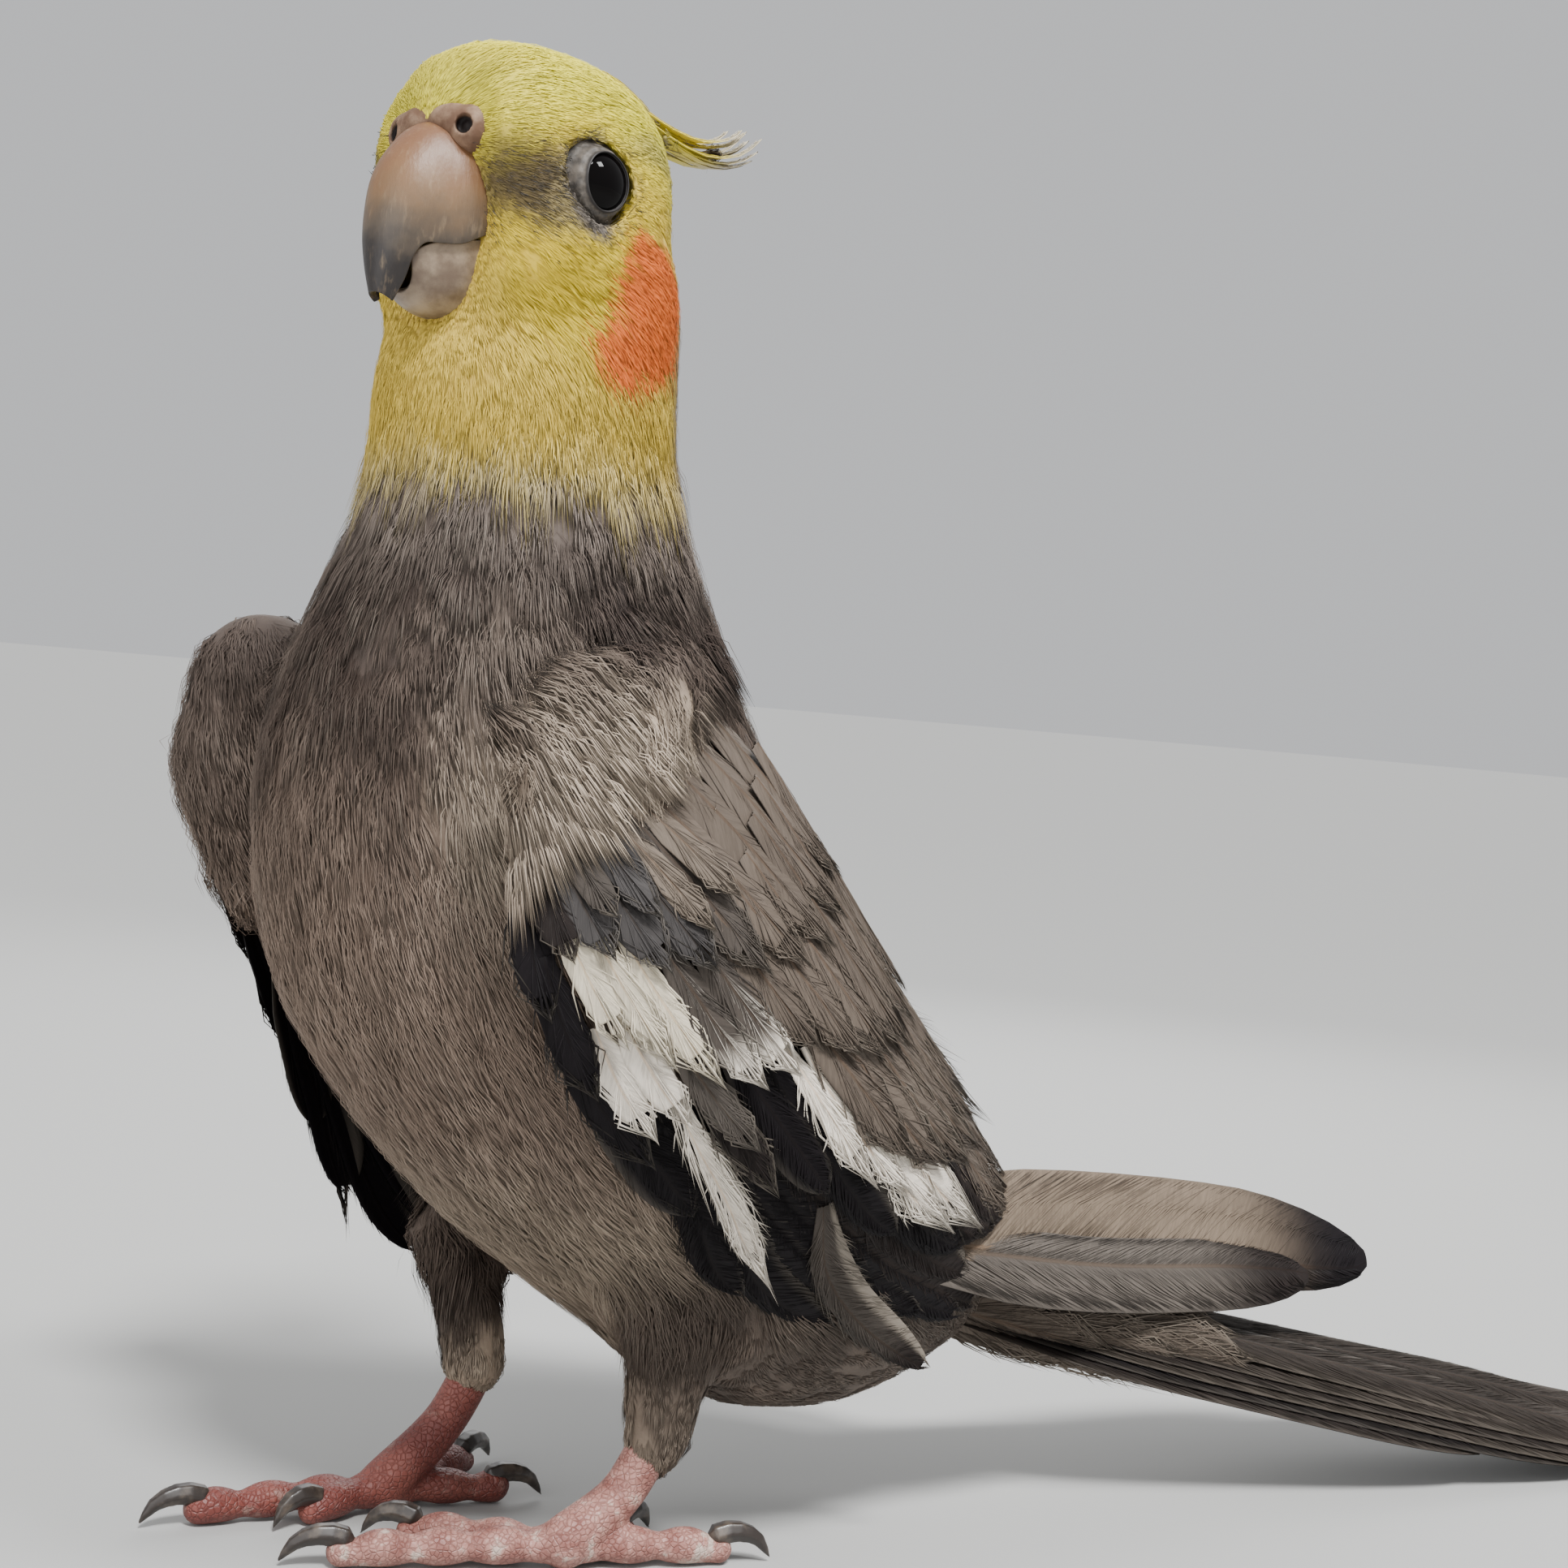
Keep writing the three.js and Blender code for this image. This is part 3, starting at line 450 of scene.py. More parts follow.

# %% [markdown]
# A strand of down is darker and browner at its root, painted shade where the next feather
# covers it, and some strands end in a pale tip. A material could tint whole tufts, but the
# difference from strand to strand is what makes a coat look like feathers and not like felt.
# %% The strand group
PAINTED_ROOT_SHADE = (0.84, 0.81, 0.78, 1)
g, gin, gout = new_group(
    "Strand",
    [
        ("Along", "Float"), ("Chance", "Float"), ("Color", "Color"), ("Pale tips", "Float", 0.3),
        ("Tip", "Color"),
    ],
    [("Color", "Color")],
)
# painted shade: every strand is darker and browner towards its root, where the next feather covers it
darker = g.mix(1.0, gin["Color"], PAINTED_ROOT_SHADE, "MULTIPLY")
tone = g.mix(g.ramp(gin["Along"], 0.0, 0.6, 0.3, 1.0), darker, gin["Color"])
few = g.ramp(gin["Chance"], 0.6, 0.9, 0.12, 1.0)
pale = g.math("MULTIPLY", g.math("MULTIPLY", g.ramp(gin["Along"], 0.3, 1.0), few), gin["Pale tips"])
lit = g.mix(pale, tone, gin["Tip"])
vary = g.math("MULTIPLY_ADD", gin["Chance"], 0.3, 0.86)
grey = g.add("ShaderNodeCombineColor", {0: vary, 1: vary, 2: vary})
g.feed(gout["Color"], g.mix(1.0, lit, grey.outputs[0], "MULTIPLY"))
print(g.tree.name, "has", len(g.tree.nodes), "nodes")

# %% [markdown]
# The web of a flight feather is a comb of fine barbs that leave the quill at a slant. The
# large barbs are geometry; the finest ones between them are lines of noise, drawn out
# along the slant, and the quill shows as a narrow horny stripe.
# %% The barb group
BARB_DARK, BARB_LIGHT = (0.86, 0.85, 0.84, 1), (1.1, 1.09, 1.08, 1)
PALE_EDGE = (0.60, 0.52, 0.42, 1)
QUILL_TINT = (0.80, 0.60, 0.44, 1)
BARB_SLANT = 4.5
g, gin, gout = new_group(
    "Barbs",
    [("Vane", "Vector"), ("Color", "Color"), ("Edge", "Float", 0.0)],
    [("Color", "Color"), ("Height", "Float")],
)
v = g.split(gin["Vane"])
aside = g.math("ABSOLUTE", v[0])
run = g.math("SUBTRACT", v[1], g.math("MULTIPLY", aside, BARB_SLANT))
fine = g.add("ShaderNodeCombineXYZ", {0: g.math("MULTIPLY", v[0], 0.7), 1: run, 2: v[2]})
lines = g.noise(fine.outputs[0], 2.4, 3.0, 0.7)
shade = g.mix(g.ramp(lines, 0.35, 0.65), BARB_DARK, BARB_LIGHT)
colour = g.mix(1.0, gin["Color"], shade, "MULTIPLY")
colour = g.mix(g.math("MULTIPLY", g.ramp(aside, 0.55, 1.0), gin["Edge"]), colour, PALE_EDGE)
quill = g.ramp(aside, 0.08, 0.03)
horny = g.mix(1.0, gin["Color"], QUILL_TINT, "MULTIPLY")
g.feed(gout["Color"], g.mix(g.math("MULTIPLY", quill, 0.5), colour, horny))
g.feed(gout["Height"], g.math("ADD", lines, g.math("MULTIPLY", quill, 1.5)))
print(g.tree.name, "has", len(g.tree.nodes), "nodes")

# %% [markdown]
# Feathers scatter light among their barbs, so a real coat shades softly, as the body under
# it would. Thin strands alone shade like wires. Each strand therefore carries the normal of
# the surface it lies on, and its own normal is drawn towards that one.
# %% Materials of the coat and the vanes
BODY_TIP, FACE_TIP = (0.66, 0.58, 0.48, 1), (0.95, 0.83, 0.30, 1)
BODY_PALE, FACE_PALE = 0.36, 0.16


def soft_normal(graph, normal, share):
    """The normal, drawn towards the surface that the feather lies on."""
    over = graph.attribute("over", "Vector")
    geometry = graph.add("ShaderNodeNewGeometry").outputs
    facing = graph.math("SIGN", graph.vector("DOT_PRODUCT", geometry["True Normal"], over))
    over = graph.vector("SCALE", over, scale=facing)
    both = graph.add("ShaderNodeMix", data_type="VECTOR")
    for socket, value in ((0, share), (4, normal or geometry["Normal"]), (5, over)):
        graph.feed(both.inputs[socket], value)
    return graph.vector("NORMALIZE", both.outputs[1])


COAT, g, shader = new_material("Coat", 0.72, Specular_IOR_Level=0.18)
plumage = g.group("Plumage", Position=g.attribute("root", "Vector")).outputs
tips = g.mix(plumage["Face"], (BODY_PALE,) * 3 + (1,), (FACE_PALE,) * 3 + (1,))
tip = g.mix(plumage["Face"], BODY_TIP, FACE_TIP)
ends = dict(Along=g.attribute("along"), Chance=g.attribute("chance"), Pale_tips=tips, Tip=tip)
strand = g.group("Strand", Color=plumage["Color"], **ends)
g.feed(shader["Base Color"], strand.outputs["Color"])
g.feed(shader["Normal"], soft_normal(g, None, 0.84))

VANES, g, shader = new_material("Vanes", 0.6, Specular_IOR_Level=0.12)
places = dict(Vane=g.attribute("vane", "Vector"), Edge=g.attribute("edge"))
webs = g.group("Barbs", Color=g.attribute("tone", "Color"), **places).outputs
g.feed(shader["Base Color"], webs["Color"])
g.feed(shader["Normal"], soft_normal(g, g.bump(webs["Height"], 0.35, 0.0002), 0.6))

# %% [markdown]
# The skin shows only in the gaps between feathers, so it takes the same markings, made a
# little darker as painted shade in those gaps, with a fine grain.
# %% Material of the skin
# painted shade: the skin is darkened because it lies deep in the gaps between feathers
PAINTED_GAP_SHADE = (0.72, 0.69, 0.66, 1)
SKIN, g, shader = new_material("Skin", 0.8)
coordinates = g.coordinates()
under = g.group("Plumage", Position=coordinates)
g.feed(shader["Base Color"], g.mix(1.0, under.outputs["Color"], PAINTED_GAP_SHADE, "MULTIPLY"))
g.feed(shader["Normal"], g.bump(g.noise(coordinates, 900.0), 0.4, 0.0003))
print("materials", [material.name for material in (COAT, VANES, SKIN)])

# %% [markdown]
# The two folded wings are smooth curved fields, on which the feathers are laid later. A
# place on one is named by u, from the leading to the back edge, and v, from the wrist to
# the tips. Three lines from wrist to tips and a parabola across them are enough for that.
# %% The fields of the wings
WING_LINES = {
    1: (
        [(31, -17, 73), (31, -15.2, 61), (30, -9, 50.5), (27.5, 5.5, 39.5), (24, 18, 31), (20, 39, 23)],
        [
            (28.5, -8, 85), (31.5, 3, 73), (31.5, 13.5, 61.5), (29, 25, 50.5), (24.5, 37, 40.5),
            (16, 52, 31),
        ],
        [(12, 14, 94), (12, 19, 85), (10.5, 27, 73.5), (8.5, 37.5, 61), (6.5, 48, 50), (4.5, 58, 40)],
    ),
    -1: (
        [(-31, -25, 80), (-30, -22.5, 67), (-28, -17, 53), (-25, -11.5, 39.5), (-21, -7, 27), (-17, 1, 18)],
        [(-26, -19, 92), (-31, -9, 80), (-31, 3, 67), (-29, 14, 54), (-24, 28, 42), (-16, 45, 31)],
        [(-11, 11, 97), (-12, 19, 87), (-10.5, 31, 75), (-8.5, 47, 64), (-6, 63, 55), (-5.5, 77, 44)],
    ),
}


def wing_point(side, u, v):
    a, b, c = (curve(line, v) for line in WING_LINES[side])
    u = np.asarray(u, float)[..., None]
    return (1 - u) * (1 - 2 * u) * a + 4 * u * (1 - u) * b + u * (2 * u - 1) * c


def wing_normal(side, u, v, e=0.01):
    du = wing_point(side, u + e, v) - wing_point(side, u - e, v)
    dv = wing_point(side, u, v + e) - wing_point(side, u, v - e)
    return side * unit(np.cross(dv, du))


for side, label in SIDES:
    span = np.linalg.norm(wing_point(side, 0.0, 1.0) - wing_point(side, 0.0, 0.0))
    print(label, "wing from wrist to tip", round(float(span), 1), "mm")

# %% [markdown]
# Fleshy forms are made as modellers in clay make them: balls along a line are pressed
# together into one surface and smoothed. A voxel remesh does the pressing.
# %% Balls along a line
bpy.ops.mesh.primitive_ico_sphere_add(subdivisions=3, radius=1)
ball = bpy.context.object
BALL = np.array([v.co for v in ball.data.vertices])
BALL_TRIS = np.array([f.vertices for f in ball.data.polygons])
bpy.data.objects.remove(ball)


def balls(name, centres, radii):
    """One object of balls; radii is one number or three for each."""
    centres, radii = np.asarray(centres, float), np.asarray(radii, float)
    radii = radii[:, None] if radii.ndim == 1 else radii
    verts = centres[:, None] + BALL[None] * radii[:, None]
    tris = BALL_TRIS[None] + (np.arange(len(centres)) * len(BALL))[:, None, None]
    return mesh_object(name, verts.reshape(-1, 3), tris.reshape(-1, 3))


def along(points, radii, number):
    """Centres and radii of many balls on a line through a few points."""
    t = np.linspace(0, 1, number)
    return curve(points, t), np.interp(t, np.linspace(0, 1, len(radii)), radii)


def fuse(obj, voxel, rounds, factor=0.5):
    """Joins what overlaps into one surface and smooths it."""
    modify(obj, "REMESH", mode="VOXEL", voxel_size=voxel * MM, use_smooth_shade=True)
    modify(obj, "SMOOTH", factor=factor, iterations=rounds)
    return obj


print("each ball has", len(BALL_TRIS), "faces")

# %% [markdown]
# One skin runs from the bill to the tail and into both arms. It could be sculpted, but the
# solids already have the form, so copies of them are taken, and only what lies between
# them is added: a pad under each wing, the shoulders, the bare shanks and the brow.
# %% The parts of the skin
WING_PAD = (0.52, 0.38, 0.3, 0.24)  # middle and half width in u, then in v
PAD_DEPTH, PAD_THICK = 2.4, 2.6
SHOULDERS = {
    1: [(12, 6, 90), (20, 1, 87), (26, -4, 80), (28.5, -6, 70)],
    -1: [(-12, 2, 91), (-18, -7, 88), (-25, -14, 82), (-28, -15, 72)],
}
FAR_SHOULDER = [(-26.4, -19.4, 85.4), (-28.8, -20.6, 76.5), (-28.4, -20.2, 70), (-27, -18, 62)]
SHANKS = [
    [(10.9, 14.9, 17), (10.9, 14.7, 13), (10.9, 14.2, 10.2)],
    [(-10.2, 3.6, 20), (-9.9, 4.4, 17.5), (-9.8, 4.8, 15.2)],
]
BROW = [(3.8, 4.9, 7.8), (-3.8, 4.9, 7.8), (0, 4.4, 6.9)]
BROW_RADII = [(7.2, 6.3, 7.7), (8.0, 6.8, 7.7), (8.8, 8.8, 9.1)]
SKIN_NODES = ("torso", "head", "neck", "thigh_left", "thigh_right")
skin_parts = [copy_of(node, node + "_copy") for node in SKIN_NODES]
for side in (1, -1):
    pad, co = flat_grid("wing_pad", 24, 30)
    u, v = WING_PAD[0] + co[:, 0] * WING_PAD[1], WING_PAD[2] + co[:, 1] * WING_PAD[3]
    bend_to(pad, wing_point(side, u, v) - wing_normal(side, u, v) * PAD_DEPTH)
    modify(pad, "SOLIDIFY", thickness=PAD_THICK * MM, offset=0)
    skin_parts.append(pad)
    skin_parts.append(balls("shoulder", *along(SHOULDERS[side], (6.5, 6.5, 5.5, 4), 26)))
skin_parts.append(balls("far_shoulder", *along(FAR_SHOULDER, (8.8, 8.0, 5.6, 4.2), 24)))
for line in SHANKS:
    skin_parts.append(balls("shank", *along(line, (4.2, 3.6, 2.9), 9)))
skin_parts.append(balls("brow", head_to_bird(BROW), BROW_RADII))
print(len(skin_parts), "parts of the skin")

# %% [markdown]
# The parts are joined and remeshed into one surface. The solids show the bird with its
# coat on, so the skin is then drawn in by the coat's depth, less on the head, where the
# feathers are short, and least at the feet.
# %% The skin
COAT_DEPTH, HEAD_SHARE, FOOT_SHARE = 1.25, 0.55, 0.15
pick(*skin_parts)
bpy.ops.object.join()
skin = bpy.context.object
skin.name = skin.data.name = "skin"
fuse(skin, 1.1, 10, 0.6)
co, normals = (read(skin.data.vertices, key) for key in ("co", "normal"))
high = (co[:, 2:] - ORIGIN[2]) / MM
depth = COAT_DEPTH * (1 - HEAD_SHARE * np.clip((high - 106) / 10, 0, 1))
depth = depth * np.clip((high - 10) / 14, FOOT_SHARE, 1)
skin.data.vertices.foreach_set("co", (co - normals * depth * MM).ravel())
modify(skin, "SMOOTH", factor=0.5, iterations=3)
pick(skin)
bpy.ops.object.mode_set(mode="EDIT")
bpy.ops.mesh.select_all(action="SELECT")
bpy.ops.uv.smart_project(angle_limit=math.radians(66), island_margin=0.004)
bpy.ops.object.mode_set(mode="OBJECT")
skin.data.uv_layers[0].name = "OFBake"
skin.data.materials.append(SKIN)
print("skin", triangles(skin), "triangles")

# %% [markdown]
# Particle hair could grow the coat, but it would have to be combed by hand to lie this
# close. So the skin is read into arrays, places on it are drawn at random, as many to a
# square millimetre as the coat is dense there, and each strand is laid along the skin.
# %% The skin as arrays
tri = read(skin.data.loop_triangles, "vertices", 3, np.int64)
tri_loops = read(skin.data.loop_triangles, "loops", 3, np.int64)
skin_uv = read(skin.data.uv_layers[0].data, "uv", 2)
skin_mm = (read(skin.data.vertices, "co") - ORIGIN) / MM
cross = np.cross(skin_mm[tri[:, 1]] - skin_mm[tri[:, 0]], skin_mm[tri[:, 2]] - skin_mm[tri[:, 0]])
area = np.linalg.norm(cross, axis=1) / 2
tree = BVHTree.FromPolygons([tuple(p) for p in skin_mm], [tuple(t) for t in tri])
print("skin area", round(float(area.sum())), "mm2")


def on_skin(points):
    """The nearest points of the skin and its normals there."""
    found = [tree.find_nearest(tuple(p)) for p in points]
    return np.array([f[0] for f in found]), np.array([f[1] for f in found])


def scatter(density):
    """Random places on the skin: density(points) gives how many a square millimetre."""
    centre = skin_mm[tri].mean(1)
    wanted = area * density(centre)
    number = np.floor(wanted).astype(int) + (rng.random(len(area)) < wanted % 1)
    chosen = np.repeat(np.arange(len(area)), number)
    w = rng.dirichlet((1, 1, 1), len(chosen))
    p = (skin_mm[tri[chosen]] * w[..., None]).sum(1)
    uv = (skin_uv[tri_loops[chosen]] * w[..., None]).sum(1)
    return p, unit(cross[chosen]), uv


# %% [markdown]
# The lie of the coat: on the head it runs away from the bill, on the body it runs along
# the bird towards the tail, and on the legs it hangs down.
# %% The lie of the coat
BACKBONE = [
    (3, -6, 139), (2, -8, 126), (0, -6, 112), (0, -4, 95), (0, 2, 78),
    (0, 14, 62), (0, 30, 46), (0, 48, 32), (1, 70, 22), (5, 90, 16),
]
BILL_ROOT = np.array((0, 13.0, -1.0))
LEG_PLACES = ((13.5, 14), (-13.5, 3))
DISORDER = 0.07


def smooth(x, low, high):
    t = np.clip((x - low) / (high - low), 0, 1)
    return t * t * (3 - 2 * t)


def lie(p, n):
    """The direction of the coat at points of the skin, flat on it."""
    table = curve(BACKBONE, np.linspace(0, 1, 60))
    ahead = unit(np.gradient(table, axis=0))
    near = np.argmin(((p[:, None] - table[None]) ** 2).sum(-1), axis=1)
    d = ahead[near]
    away = bird_to_head(p) - BILL_ROOT
    away[:, 2] *= 0.8
    away = unit(head_direction(away) + np.array((0, 0, -4.0)))
    on_head = smooth(p[:, 2], 112, 122)[:, None]
    d = d * (1 - on_head) + away * on_head
    for x, y in LEG_PLACES:
        leg = smooth(-np.hypot(p[:, 0] - x, p[:, 1] - y), -11, -7) * smooth(-p[:, 2], -36, -28)
        d = d * (1 - leg[:, None]) + np.array((0, 0, -1.0)) * leg[:, None]
    d = unit(d + rng.normal(0, DISORDER, d.shape))
    return unit(d - n * (d * n).sum(1, keepdims=True))


backbone = np.linalg.norm(np.diff(BACKBONE, axis=0), axis=1).sum()
print("the coat follows a backbone of", round(float(backbone), 1), "mm")

# %% [markdown]
# A tuft stands for the soft open end of one body feather: thin strands that fan out from
# its shaft, pressed onto the ones behind it. Flat cards with a see-through picture would
# be lighter, but they look flat from the side. A strand is a closed spindle of six faces,
# so that a coat of them stays within what a mesh can hold.
# %% Strands and their paths
SPINDLE = np.array([(0, 3, 1), (0, 2, 3), (0, 1, 2), (4, 1, 3), (4, 3, 2), (4, 2, 1)])
CORNERS = 5
RIDGE = 0.6


def spindles(start, middle, end, side, up, width):
    """Thin closed strands: a root, three corners half-way and a tip. Left of a strand is side."""
    w = width[..., None]
    corners = [start, middle + side * w, middle - side * w, middle + up * w * RIDGE, end]
    corners = np.stack(corners, -2).reshape(-1, 3)
    tris = (np.arange(len(corners) // CORNERS) * CORNERS)[:, None, None] + SPINDLE[None]
    return corners, tris.reshape(-1, 3)


def skin_path(p, n, length):
    """Root, middle and end of each tuft on the skin: places, normals and directions."""
    d = lie(p, n)
    m, nm = on_skin(p + d * length[:, None] * 0.5)
    dm = unit(m - p + 1e-6)
    dm = unit(dm - nm * (dm * nm).sum(1, keepdims=True))
    e, ne = on_skin(m + dm * length[:, None] * 0.5)
    return (p, n, d), (m, nm, dm), (e, ne, dm)


print("a strand has", len(SPINDLE), "faces")

# %% [markdown]
# All the tufts of one part of the coat are one mesh. Each corner remembers the root of its
# tuft, for the marking, how far along its strand it is, and a chance of its own.
# %% Tufts
SPREAD, RISE = (0.3, 0.8, 1.0), (-0.5, 1.0, 0.8)  # at root, middle and end
MAP_FAN, MAP_ALONG, MAP_WIDE = 0.0011, 0.003, 0.0004
FRAY = 0.2


def tufts(name, path, uv, width, strands, lift, thick, fray, vary, material):
    """One coat piece of tufts on their paths; the sizes are arrays in millimetres."""
    p, nm = path[0][0], path[1][1]
    k = len(p)
    fan = np.linspace(-1, 1, strands)[None] + rng.normal(0, fray, (k, strands))
    reach = (1 - 0.32 * fan**2) * rng.uniform(0.7, 1.12, (k, strands))
    rise = lift[:, None] * rng.uniform(0.5, 1.3, (k, strands))
    rows, sides = [], []
    for step, (q, nq, ahead) in enumerate(path):
        side = unit(np.cross(nq, ahead))
        spread = SPREAD[step] * fan * width[:, None]
        up = RISE[step] * rise
        back = p[:, None] + (q - p)[:, None] * reach[..., None]
        rows.append(back + side[:, None] * spread[..., None] + nq[:, None] * up[..., None])
        sides.append(np.broadcast_to(side[:, None], rows[-1].shape))
    up = np.broadcast_to(nm[:, None], rows[1].shape)
    verts, tris = spindles(*rows, sides[1], up, thick * rng.uniform(0.75, 1.3, (k, strands)))
    many = strands * CORNERS
    part = np.tile([0, 0.5, 0.5, 0.5, 1.0], k * strands)
    chance = 0.5 + vary * (0.45 * rng.random((k, 1)) + 0.55 * rng.random((k, strands)) - 0.5)
    patch = np.stack([np.repeat(fan * MAP_FAN, CORNERS).ravel(), (part - 0.5) * MAP_ALONG], 1)
    patch[:, 0] += np.tile([0, MAP_WIDE, -MAP_WIDE, 0, 0], k * strands)
    attributes = [
        ("root", "FLOAT_VECTOR", np.repeat(place(p), many, 0)), ("along", "FLOAT", part),
        ("chance", "FLOAT", np.repeat(chance, CORNERS)), ("over", "FLOAT_VECTOR", np.repeat(nm, many, 0)),
    ]
    obj = mesh_object(name, verts, tris, attributes, np.repeat(uv, many, 0) + patch)
    obj.data.materials.append(material)
    print(name, k, "tufts", len(tris), "triangles")
    return obj


# %% [markdown]
# No feathers grow on the bill, the cere and the ring round the eye, and hardly any where
# the folded wings hide the body. Each of these places is a distance that can be asked for
# at any point, so the coat thins out softly towards it.
# %% Where the tufts grow
EYE_RING = (1.35, 1.4)
BARE_RING = 3.2
UNDER_FROM = {1: 0.17, -1: 0.36}  # where the coverts begin to hide the skin, in v


def eye_distance(p):
    """How far points on the side of the head are from the middle of the eye."""
    h = bird_to_head(p)
    off_side = np.where(np.abs(h[:, 0]) < 8, 20, 0)
    return np.hypot(np.hypot(h[:, 1] - EYE_RING[0], h[:, 2] - EYE_RING[1]), off_side)


def bill_margin(p):
    """Below 0 on the bare seat of the bill and the cere."""
    h = bird_to_head(p)
    seat = (np.hypot(h[:, 0] / 6.0, (h[:, 2] + 3.2) / 8.8) - 1) * 6
    return np.where(h[:, 1] > 4, seat, 20)


def under_wing(p, far=5.0, near=3.5):
    """1 well under a folded wing, where the coverts hide the skin, and 0 beyond far."""
    found = np.zeros(len(p))
    for side, first in UNDER_FROM.items():
        u, v = np.meshgrid(np.linspace(0.15, 0.9, 17), np.linspace(first, 0.7, 21))
        field = wing_point(side, u.ravel(), v.ravel())
        gap = np.sqrt(((p[:, None] - field[None]) ** 2).sum(-1)).min(1)
        found = np.maximum(found, smooth(-gap, -far, -near))
    return found


print(round(float(under_wing(skin_mm[::50]).mean()), 2), "of the skin lies under the wings")

# %% [markdown]
# The coat of the body has two layers, as on the bird: short close down, and long fine
# strands over it. They stop at the neck, where the shorter coat of the head takes over.
# %% The coat of the body
MOST_TRIANGLES = 190000
NECK_LINE = 111.0
BODY_COATS = (
    # name, tufts a square millimetre, strands, extra length, spread, thickness, variety
    ("down", 0.345, 12, 0.0, 0.2, 0.08, 0.25),
    ("coat_body", 0.075, 28, 4.2, 0.24, 0.046, 1.0),
)
pieces = []
share = 1.0 if FINE else 0.35


def coat_parts(name, p, n, uv, length, width, strands, lift, thick, vary):
    """Splits the tufts by height into pieces below the limit of triangles."""
    order = np.argsort(-p[:, 2])
    number = max(1, math.ceil(len(p) * strands * len(SPINDLE) / MOST_TRIANGLES))
    for i, chunk in enumerate(np.array_split(order, number)):
        path = skin_path(p[chunk], n[chunk], length[chunk])
        sizes = (width[chunk], strands, lift[chunk], thick, FRAY, vary, COAT)
        pieces.append(tufts(f"{name}_{i + 1}", path, uv[chunk], *sizes))


def body_density(c):
    return share * smooth(-c[:, 2], -NECK_LINE - 2, -NECK_LINE + 2) * (1 - 0.93 * under_wing(c))


for label, density, strands, longer, wide, thick, vary in BODY_COATS:
    p, n, uv = scatter(lambda c: density * body_density(c))
    length = 6.4 + longer + 2.6 * smooth(-p[:, 2], -100, -60) + rng.normal(0, 0.8, len(p))
    length *= 1 - 0.6 * smooth(-p[:, 2], -32, -20)
    lift = 0.38 + longer * 0.08 + 0.2 * smooth(-p[:, 2], -70, -35)
    lift = lift * (1 - 0.75 * smooth(-p[:, 2], -30, -20))
    coat_parts(label, p, n, uv, length, wide * length, strands, lift, thick, vary)

# %% [markdown]
# The feathers of the head are short and lie close, shortest and densest round the bill and
# the eye, so their length grows with the distance from both.
# %% The coat of the head
HEAD_COATS = (("face_down", 1.62, 9, 1.0, 0.2, 0.048, 0.3), ("coat_head", 0.3, 14, 1.45, 0.2, 0.032, 0.8))


def head_density(c):
    bare = (eye_distance(c) > BARE_RING) * (bill_margin(c) > -0.2)
    fine = 1.0 + 1.2 * smooth(-np.minimum(eye_distance(c) - 4, bill_margin(c)), -5, -1)
    return share * smooth(c[:, 2], NECK_LINE - 2, NECK_LINE + 2) * bare * fine


for label, density, strands, longer, wide, thick, vary in HEAD_COATS:
    p, n, uv = scatter(lambda c: density * head_density(c))
    near = np.minimum(eye_distance(p) - BARE_RING, bill_margin(p) + 0.3)
    length = np.clip(0.9 + 0.6 * near, 0.9, 4.8) * rng.uniform(0.85, 1.15, len(p))
    length = (length + 1.5 * smooth(-p[:, 2], -122, -NECK_LINE)) * longer
    lift = 0.04 + 0.024 * length * longer
    coat_parts(label, p, n, uv, length, wide * length, strands, lift, thick, vary)

# %% [markdown]
# Fine dark bristles stand between bill and eye and as lashes round the bare ring. They are
# tufts of two strands that rise more steeply than the coat.
# %% Bristles between bill and eye
BRISTLE, g, shader = new_material("Bristle", 0.6)
shader["Base Color"].default_value = (0.035, 0.028, 0.02, 1)


def bristle_density(c):
    h = bird_to_head(c)
    lores = np.exp(-(((h[:, 1] - 7.2) / 3.2) ** 2) - ((h[:, 2] - 0.2) / 4.0) ** 2)
    ring = np.exp(-(((eye_distance(c) - 3.9) / 0.8) ** 2))
    free = (bill_margin(c) > 0) * (2.8 * lores + 1.3 * ring)
    return share * free * (np.abs(h[:, 0]) > 4) * (eye_distance(c) > BARE_RING)


p, n, uv = scatter(bristle_density)
length = rng.uniform(1.4, 2.8, len(p))
path = skin_path(p, n, length)
sizes = (0.1 * length, 2, 0.22 * length, 0.036, 0.5, 0.5, BRISTLE)
pieces.append(tufts("coat_bristles", path, uv, *sizes))

# %% [markdown]
# The small feathers of the shoulder are open and soft, and hide the roots of the coverts.
# They are tufts like the coat's, but they lie on the wing's field instead of the skin, and
# take their place in the map from the skin under them.
# %% The soft shoulders
SHOULDER_TUFTS = {
    # number, first and last v, heights over the field at root, middle and end, and lift
    1: (600, -0.10, 0.04, (-2.0, 0.0, 0.3), 1.0),
    -1: (420, 0.06, 0.16, (-3.2, -1.7, -0.6), 0.5),
}


def wing_path(side, u, v, length, heights):
    """Root, middle and end of each tuft on a wing's field."""
    rows = []
    scale = np.linalg.norm(wing_point(side, u, v + 0.05) - wing_point(side, u, v - 0.05), axis=1) / 0.1
    for t, height in zip((0.0, 0.5, 1.0), heights):
        there = v + t * length / scale
        normal = wing_normal(side, u, there)
        ahead = unit(wing_point(side, u, there + 0.02) - wing_point(side, u, there - 0.02))
        rows.append((wing_point(side, u, there) + normal * height, normal, ahead))
    return rows


